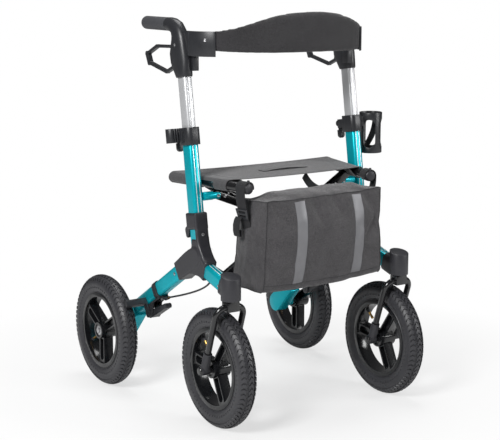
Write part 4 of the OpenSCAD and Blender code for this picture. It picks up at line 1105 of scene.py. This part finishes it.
def select_edges(piece, wanted):
    """Select in edit mode the edges whose two ends pass a test."""
    close_edit()
    points = piece.data.vertices
    for part in (*points, *piece.data.polygons):
        part.select = False
    for edge in piece.data.edges:
        first, second = (points[end].co for end in edge.vertices)
        edge.select = wanted(first, second)
    bpy.context.tool_settings.mesh_select_mode = (False, True, False)
    bpy.ops.object.mode_set(mode="EDIT")


bag_cloth = cloth_finish("bag_cloth", tone(40, 39, 41), tone(88, 86, 88), 800.0, 0.3 * MM)
bpy.ops.mesh.primitive_cube_add(size=1, location=(0.5, 0.5, 0.5))
bag = bpy.context.object
bag.name = "bag_shell"
bpy.ops.object.transform_apply()
for axis in range(3):
    select_edges(bag, lambda first, second: abs((second - first).normalized()[axis]) > 0.9)
    bpy.ops.mesh.subdivide(number_cuts=round(BAG_SIZE[axis] / CLOTH_STEP) - 1)
close_edit()
bag_shares = [vertex.co.copy() for vertex in bag.data.vertices]
for vertex in bag.data.vertices:
    vertex.co = bag_place(*vertex.co)
fill_out(bag, 2.5, 9 * MM, spare=0.02)
for vertex, share in zip(bag.data.vertices, bag_shares):
    if share.y < 0.001:
        vertex.co.y += fold_depth(share.x, share.z)


def narrow_with_fold(piece):
    """Give the piece a mesh of its own."""
    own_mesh(piece)


def sewn_cord(name, points, radius, finish, body):
    """A sewn edge, as a thin round run along a line of points."""
    line = bpy.data.curves.new(name, "CURVE")
    line.dimensions = "3D"
    line.bevel_depth = radius
    line.bevel_resolution = 2
    line.use_fill_caps = True
    run = line.splines.new("POLY")
    run.points.add(len(points) - 1)
    for knot, point in zip(run.points, points):
        knot.co = (*point, 1)
    piece = new_object(name, line)
    pick_only(piece)
    bpy.ops.object.convert(target="MESH")
    piece = bpy.context.object
    give_finish(piece, finish)
    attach(piece, body)
    return piece


def bag_line(axis, first, second):
    """The points of the cloth along one axis of its box, at two given shares of the other axes."""
    others = [i for i in range(3) if i != axis]
    near = [
        (share[axis], vertex.co.copy())
        for share, vertex in zip(bag_shares, bag.data.vertices)
        if abs(share[others[0]] - first) < 0.002 and abs(share[others[1]] - second) < 0.002
    ]
    return [point for _, point in sorted(near, key=lambda knot: knot[0])]


seam_cloth = cloth_finish("seam_cloth", tone(38, 38, 40), tone(62, 61, 63), 1100.0, 0.2 * MM)
SEAM_RADIUS = 1.3 * MM
BAG_SEAMS = [(axis, first, second) for axis in range(3) for first in (0, 1) for second in (0, 1)]
BAG_SEAMS.remove((0, 0, 0))
BAG_SEAMS.append((0, 0, SEAM_HEIGHT))
for number, seam_at in enumerate(BAG_SEAMS):
    seam = sewn_cord(f"bag_seam_{number}", bag_line(*seam_at), SEAM_RADIUS, seam_cloth, "seat")
    narrow_with_fold(seam)

tape_finish, tree, shader = start_finish("tape_finish", Metallic=0.3, Specular_IOR_Level=0.5)
tones = effect(tree, mottle, Dark=tone(106, 106, 109), Light=tone(124, 124, 127), Scale=40.0)
cells = wire(tree, "TexVoronoi", {"Scale": 900.0}).outputs[0]
gloss = wire(tree, "MapRange", {0: cells, 3: 0.35, 4: 0.6})
tree.links.new(tones.outputs["Color"], shader.inputs["Base Color"])
tree.links.new(gloss.outputs[0], shader.inputs["Roughness"])
TAPE_LIFT = 0.5 * MM
TAPE_THICK = 0.8 * MM
STITCH_LIFT = Vector((0, -1.1 * MM, 0))
TAPES = {"bag_tape_right": (14 / 60, 19 / 60), "bag_tape_left": (44 / 60, 49 / 60)}
for name, (first, last) in TAPES.items():
    tape = new_object(name, bag.data.copy())
    for face in tape.data.polygons:
        middle = sum((bag_shares[i] for i in face.vertices), Vector()) / len(face.vertices)
        face.select = not (first < middle.x < last and SEAM_HEIGHT < middle.z < 0.97 and middle.y < 0.001)
    pick_only(tape)
    bpy.context.tool_settings.mesh_select_mode = (False, False, True)
    bpy.ops.object.mode_set(mode="EDIT")
    bpy.ops.mesh.delete(type="FACE")
    bpy.ops.mesh.select_all(action="SELECT")
    bpy.ops.transform.shrink_fatten(value=TAPE_LIFT)
    close_edit()
    shaped(tape, "SOLIDIFY", thickness=TAPE_THICK, offset=-1)
    give_finish(tape, tape_finish, 40)
    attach(tape, "seat")
    narrow_with_fold(tape)
    for edge, share in (("first", first), ("last", last)):
        points = [point + STITCH_LIFT for point in bag_line(2, share, 0)[3:-1]]
        row = stitch_row(f"{name}_{edge}_stitches", points, thread, "seat")
        narrow_with_fold(row)

shaped(bag, "SUBSURF", levels=1, render_levels=1)
give_finish(bag, bag_cloth)
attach(bag, "seat")
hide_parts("bag")
narrow_with_fold(bag)

# Webbing
# Woven tape makes the seat's pull handle, the tie from the seat to the bag, and the bag's two straps.
# Each strap loops round a rail end and goes down to a ladder buckle, with its free end turned back.

webbing = cloth_finish("webbing", tone(26, 26, 28), tone(46, 46, 48), 480.0, 0.35 * MM, (0.6, 0.8), 0.1)


def webbing_strip(name, points, across, width, body, thickness=1.8 * MM, finish=webbing):
    """A flat woven tape along a line of points, as wide as given. It rides on a body if one is given."""
    piece = new_grid(name, len(points) - 1, 4)
    for vertex in piece.data.vertices:
        step = round((vertex.co.x + 1) / 2 * (len(points) - 1))
        vertex.co = points[step] + across * (vertex.co.y * width / 2)
    shaped(piece, "SOLIDIFY", thickness=thickness, offset=0)
    shaped(piece, "BEVEL", width=0.5 * MM, segments=2)
    give_finish(piece, finish, 40)
    if body:
        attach(piece, body)
    return piece


# The pull handle lies on the middle of the seat, and another tape ties the seat to the bag behind it
HANDLE_FROM = -46 * MM
HANDLE_TO = 94 * MM
HANDLE_DEPTH = -108 * MM
HANDLE_WIDTH = 25 * MM
HANDLE_THICK = 2.0 * MM
HANDLE_ARCH = 3 * MM
HANDLE_CLEAR = 1.9 * MM
SEAT_HALF = 222 * MM
handle_line = []
for step in range(25):
    share = step / 24
    x = HANDLE_FROM + share * (HANDLE_TO - HANDLE_FROM)
    arch = HANDLE_ARCH * math.sin(math.pi * min(1, max(0, (share - 0.12) / 0.76))) ** 0.7
    handle_line.append(Vector((x, HANDLE_DEPTH, seat_top(abs(x / SEAT_HALF)) + HANDLE_CLEAR + arch)))
pull = webbing_strip(
    "seat_pull_handle", handle_line, Vector((0, 1, 0)), HANDLE_WIDTH, None, HANDLE_THICK, seam_cloth
)
TIE_FROM = Vector((36, -186, 607.5)) * MM
TIE_TO = Vector((98, -206, 560)) * MM
TIE_DROOP = Vector((-10, 0, -7)) * MM
TIE_WIDTH = 20 * MM
tie_line = []
for step in range(13):
    share = step / 12
    tie_line.append(TIE_FROM.lerp(TIE_TO, share) + TIE_DROOP * math.sin(math.pi * share))
tie = webbing_strip("seat_tie", tie_line, Vector((0.6, 0, 0.8)), TIE_WIDTH, None)
for piece in (pull, tie):
    bend_with_arms(piece)

STRAP_WIDTH = 32 * MM
STRAP_REACH = 8 * MM
LOOP_RADIUS = 16.2 * MM
TAIL_WIDTH = 22 * MM
TAIL_SHIFT = 12 * MM
BUCKLE_DROP = 64 * MM
BUCKLE_OUT = 7.5 * MM
BUCKLE_TILT = 4 * MM
BUCKLE_HALF = Vector((20, 13)) * MM
BUCKLE_TAPER = 0.12
BUCKLE_THICK = 4.5 * MM
# The strap's inner leg and its free end: how far out from the rail and how high, in mm
LEG_PATH = ((-9, -104), (-5, -92), (0, -78), (5, -64), (9, -50), (13, -34), (15.4, -20), (16.2, -8))
TAIL_PATH = ((8, -72), (14, -79), (18, -91), (18, -106), (15, -118), (11, -121), (8, -115), (9, -104))
rise = Vector((0, 0, 1))
for side, sign in SIDES.items():
    run = Vector((sign * math.sin(RAIL_TURN), math.cos(RAIL_TURN), 0))
    outwards = Vector((sign * math.cos(RAIL_TURN), -math.sin(RAIL_TURN), 0))
    centre = Vector((sign * RAIL_START.x, RAIL_START.y, RAIL_START.z)) + STRAP_REACH * run
    loop = [centre + outwards * (out * MM) + rise * (z * MM) for out, z in LEG_PATH]
    for turn in range(0, 196, 15):
        angle = math.radians(turn)
        loop.append(centre + LOOP_RADIUS * (outwards * math.cos(angle) + rise * math.sin(angle)))
    strap = webbing_strip(f"{side}_bag_strap", loop, run, STRAP_WIDTH, "seat")
    if side == "right":
        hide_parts("bag_straps")
    tail = [centre + TAIL_SHIFT * run + outwards * (out * MM) + rise * (z * MM) for out, z in TAIL_PATH]
    end = webbing_strip(f"{side}_strap_end", tail, run, TAIL_WIDTH, "seat")

    buckle = new_grid(f"{side}_buckle", 5, 5)
    cut_away(buckle, lambda spot, normal: abs(spot.x) < 0.7 and 0.3 < abs(spot.y) < 0.5)
    for vertex in buckle.data.vertices:
        flare = 1 - BUCKLE_TAPER * (1 - vertex.co.y) / 2
        vertex.co = (
            centre + outwards * (BUCKLE_OUT + BUCKLE_TILT * vertex.co.y)
            + run * (vertex.co.x * BUCKLE_HALF.x * flare)
            + rise * (vertex.co.y * BUCKLE_HALF.y - BUCKLE_DROP)
        )
    shaped(buckle, "SOLIDIFY", thickness=BUCKLE_THICK, offset=0)
    shaped(buckle, "BEVEL", width=0.9 * MM, segments=3)
    give_finish(buckle, satin_moulding, 40)
    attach(buckle, "seat")
    for piece in (strap, end, buckle):
        narrow_with_fold(piece)

# Studio
# A pale floor, soft light from three large panels, and a camera a little above the handles.

CAMERA_PLACE = Vector((-2.034, -3.070, 1.152))
CAMERA_AIM = Vector((0.0, 0.013, 0.461))
LENS_LENGTH = 99.9
FLOOR_WIDTH = 160
# From which distance the floor fades to white, and where it is all white
FADE_FROM = 0.35
FADE_TO = 1.1
NEAR_WHITE = 0.62
SKY_LIGHT = 0.13

bpy.ops.mesh.primitive_plane_add(size=FLOOR_WIDTH)
floor = bpy.context.object
floor.name = "studio_floor"
floor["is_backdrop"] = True
paper = bpy.data.materials.new("floor_paper")
paper.use_nodes = True
tree = paper.node_tree
tree.nodes.clear()
seen = wire(tree, "LightPath", {}).outputs["Is Camera Ray"]
spot = wire(tree, "TexCoord", {}).outputs["Object"]
away = wire(tree, "VectorMath", {0: spot}, operation="LENGTH").outputs["Value"]
white_share = wire(
    tree, "MapRange", {0: away, 1: FADE_FROM, 2: FADE_TO, 3: NEAR_WHITE, 4: 1.0}
).outputs[0]
lit = wire(tree, "BsdfDiffuse", {"Color": (0.78, 0.78, 0.78, 1)})
white = wire(tree, "Emission", {"Color": (1, 1, 1, 1), "Strength": 1.0})
share = maths(tree, "MULTIPLY", seen, white_share)
both = wire(tree, "MixShader", {0: share, 1: lit.outputs[0], 2: white.outputs[0]})
wire(tree, "OutputMaterial", {"Surface": both.outputs[0]})
floor.data.materials.append(paper)

world = bpy.data.worlds.new("studio")
bpy.context.scene.world = world
world.use_nodes = True
tree = world.node_tree
tree.nodes.clear()
seen = wire(tree, "LightPath", {}).outputs["Is Camera Ray"]
level = wire(tree, "MapRange", {0: seen, 3: SKY_LIGHT, 4: 1.0})
sky = wire(tree, "Background", {"Color": (1, 1, 1, 1), "Strength": level.outputs[0]})
wire(tree, "OutputWorld", {"Surface": sky.outputs[0]})


def add_panel(name, place, width, power):
    """A square light panel that faces the middle of the object."""
    lamp = bpy.data.lights.new(name, "AREA")
    lamp.energy = power
    lamp.size = width
    panel = new_object(name, lamp)
    panel.location = place
    panel.rotation_euler = (CAMERA_AIM - Vector(place)).to_track_quat("-Z", "Y").to_euler()


add_panel("key_panel", (-3.0, -1.6, 2.6), 1.1, 150)
add_panel("fill_panel", (2.4, -2.8, 1.6), 1.2, 56)
add_panel("top_panel", (0.3, 0.6, 3.6), 1.8, 60)

lens = bpy.data.cameras.new("camera")
lens.sensor_fit = "HORIZONTAL"
lens.sensor_width = 36
lens.lens = LENS_LENGTH
camera = new_object("camera", lens)
camera.location = CAMERA_PLACE
camera.rotation_euler = (CAMERA_AIM - CAMERA_PLACE).to_track_quat("-Z", "Y").to_euler()
bpy.context.scene.camera = camera
bpy.context.scene.view_settings.view_transform = "Standard"

low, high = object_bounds()
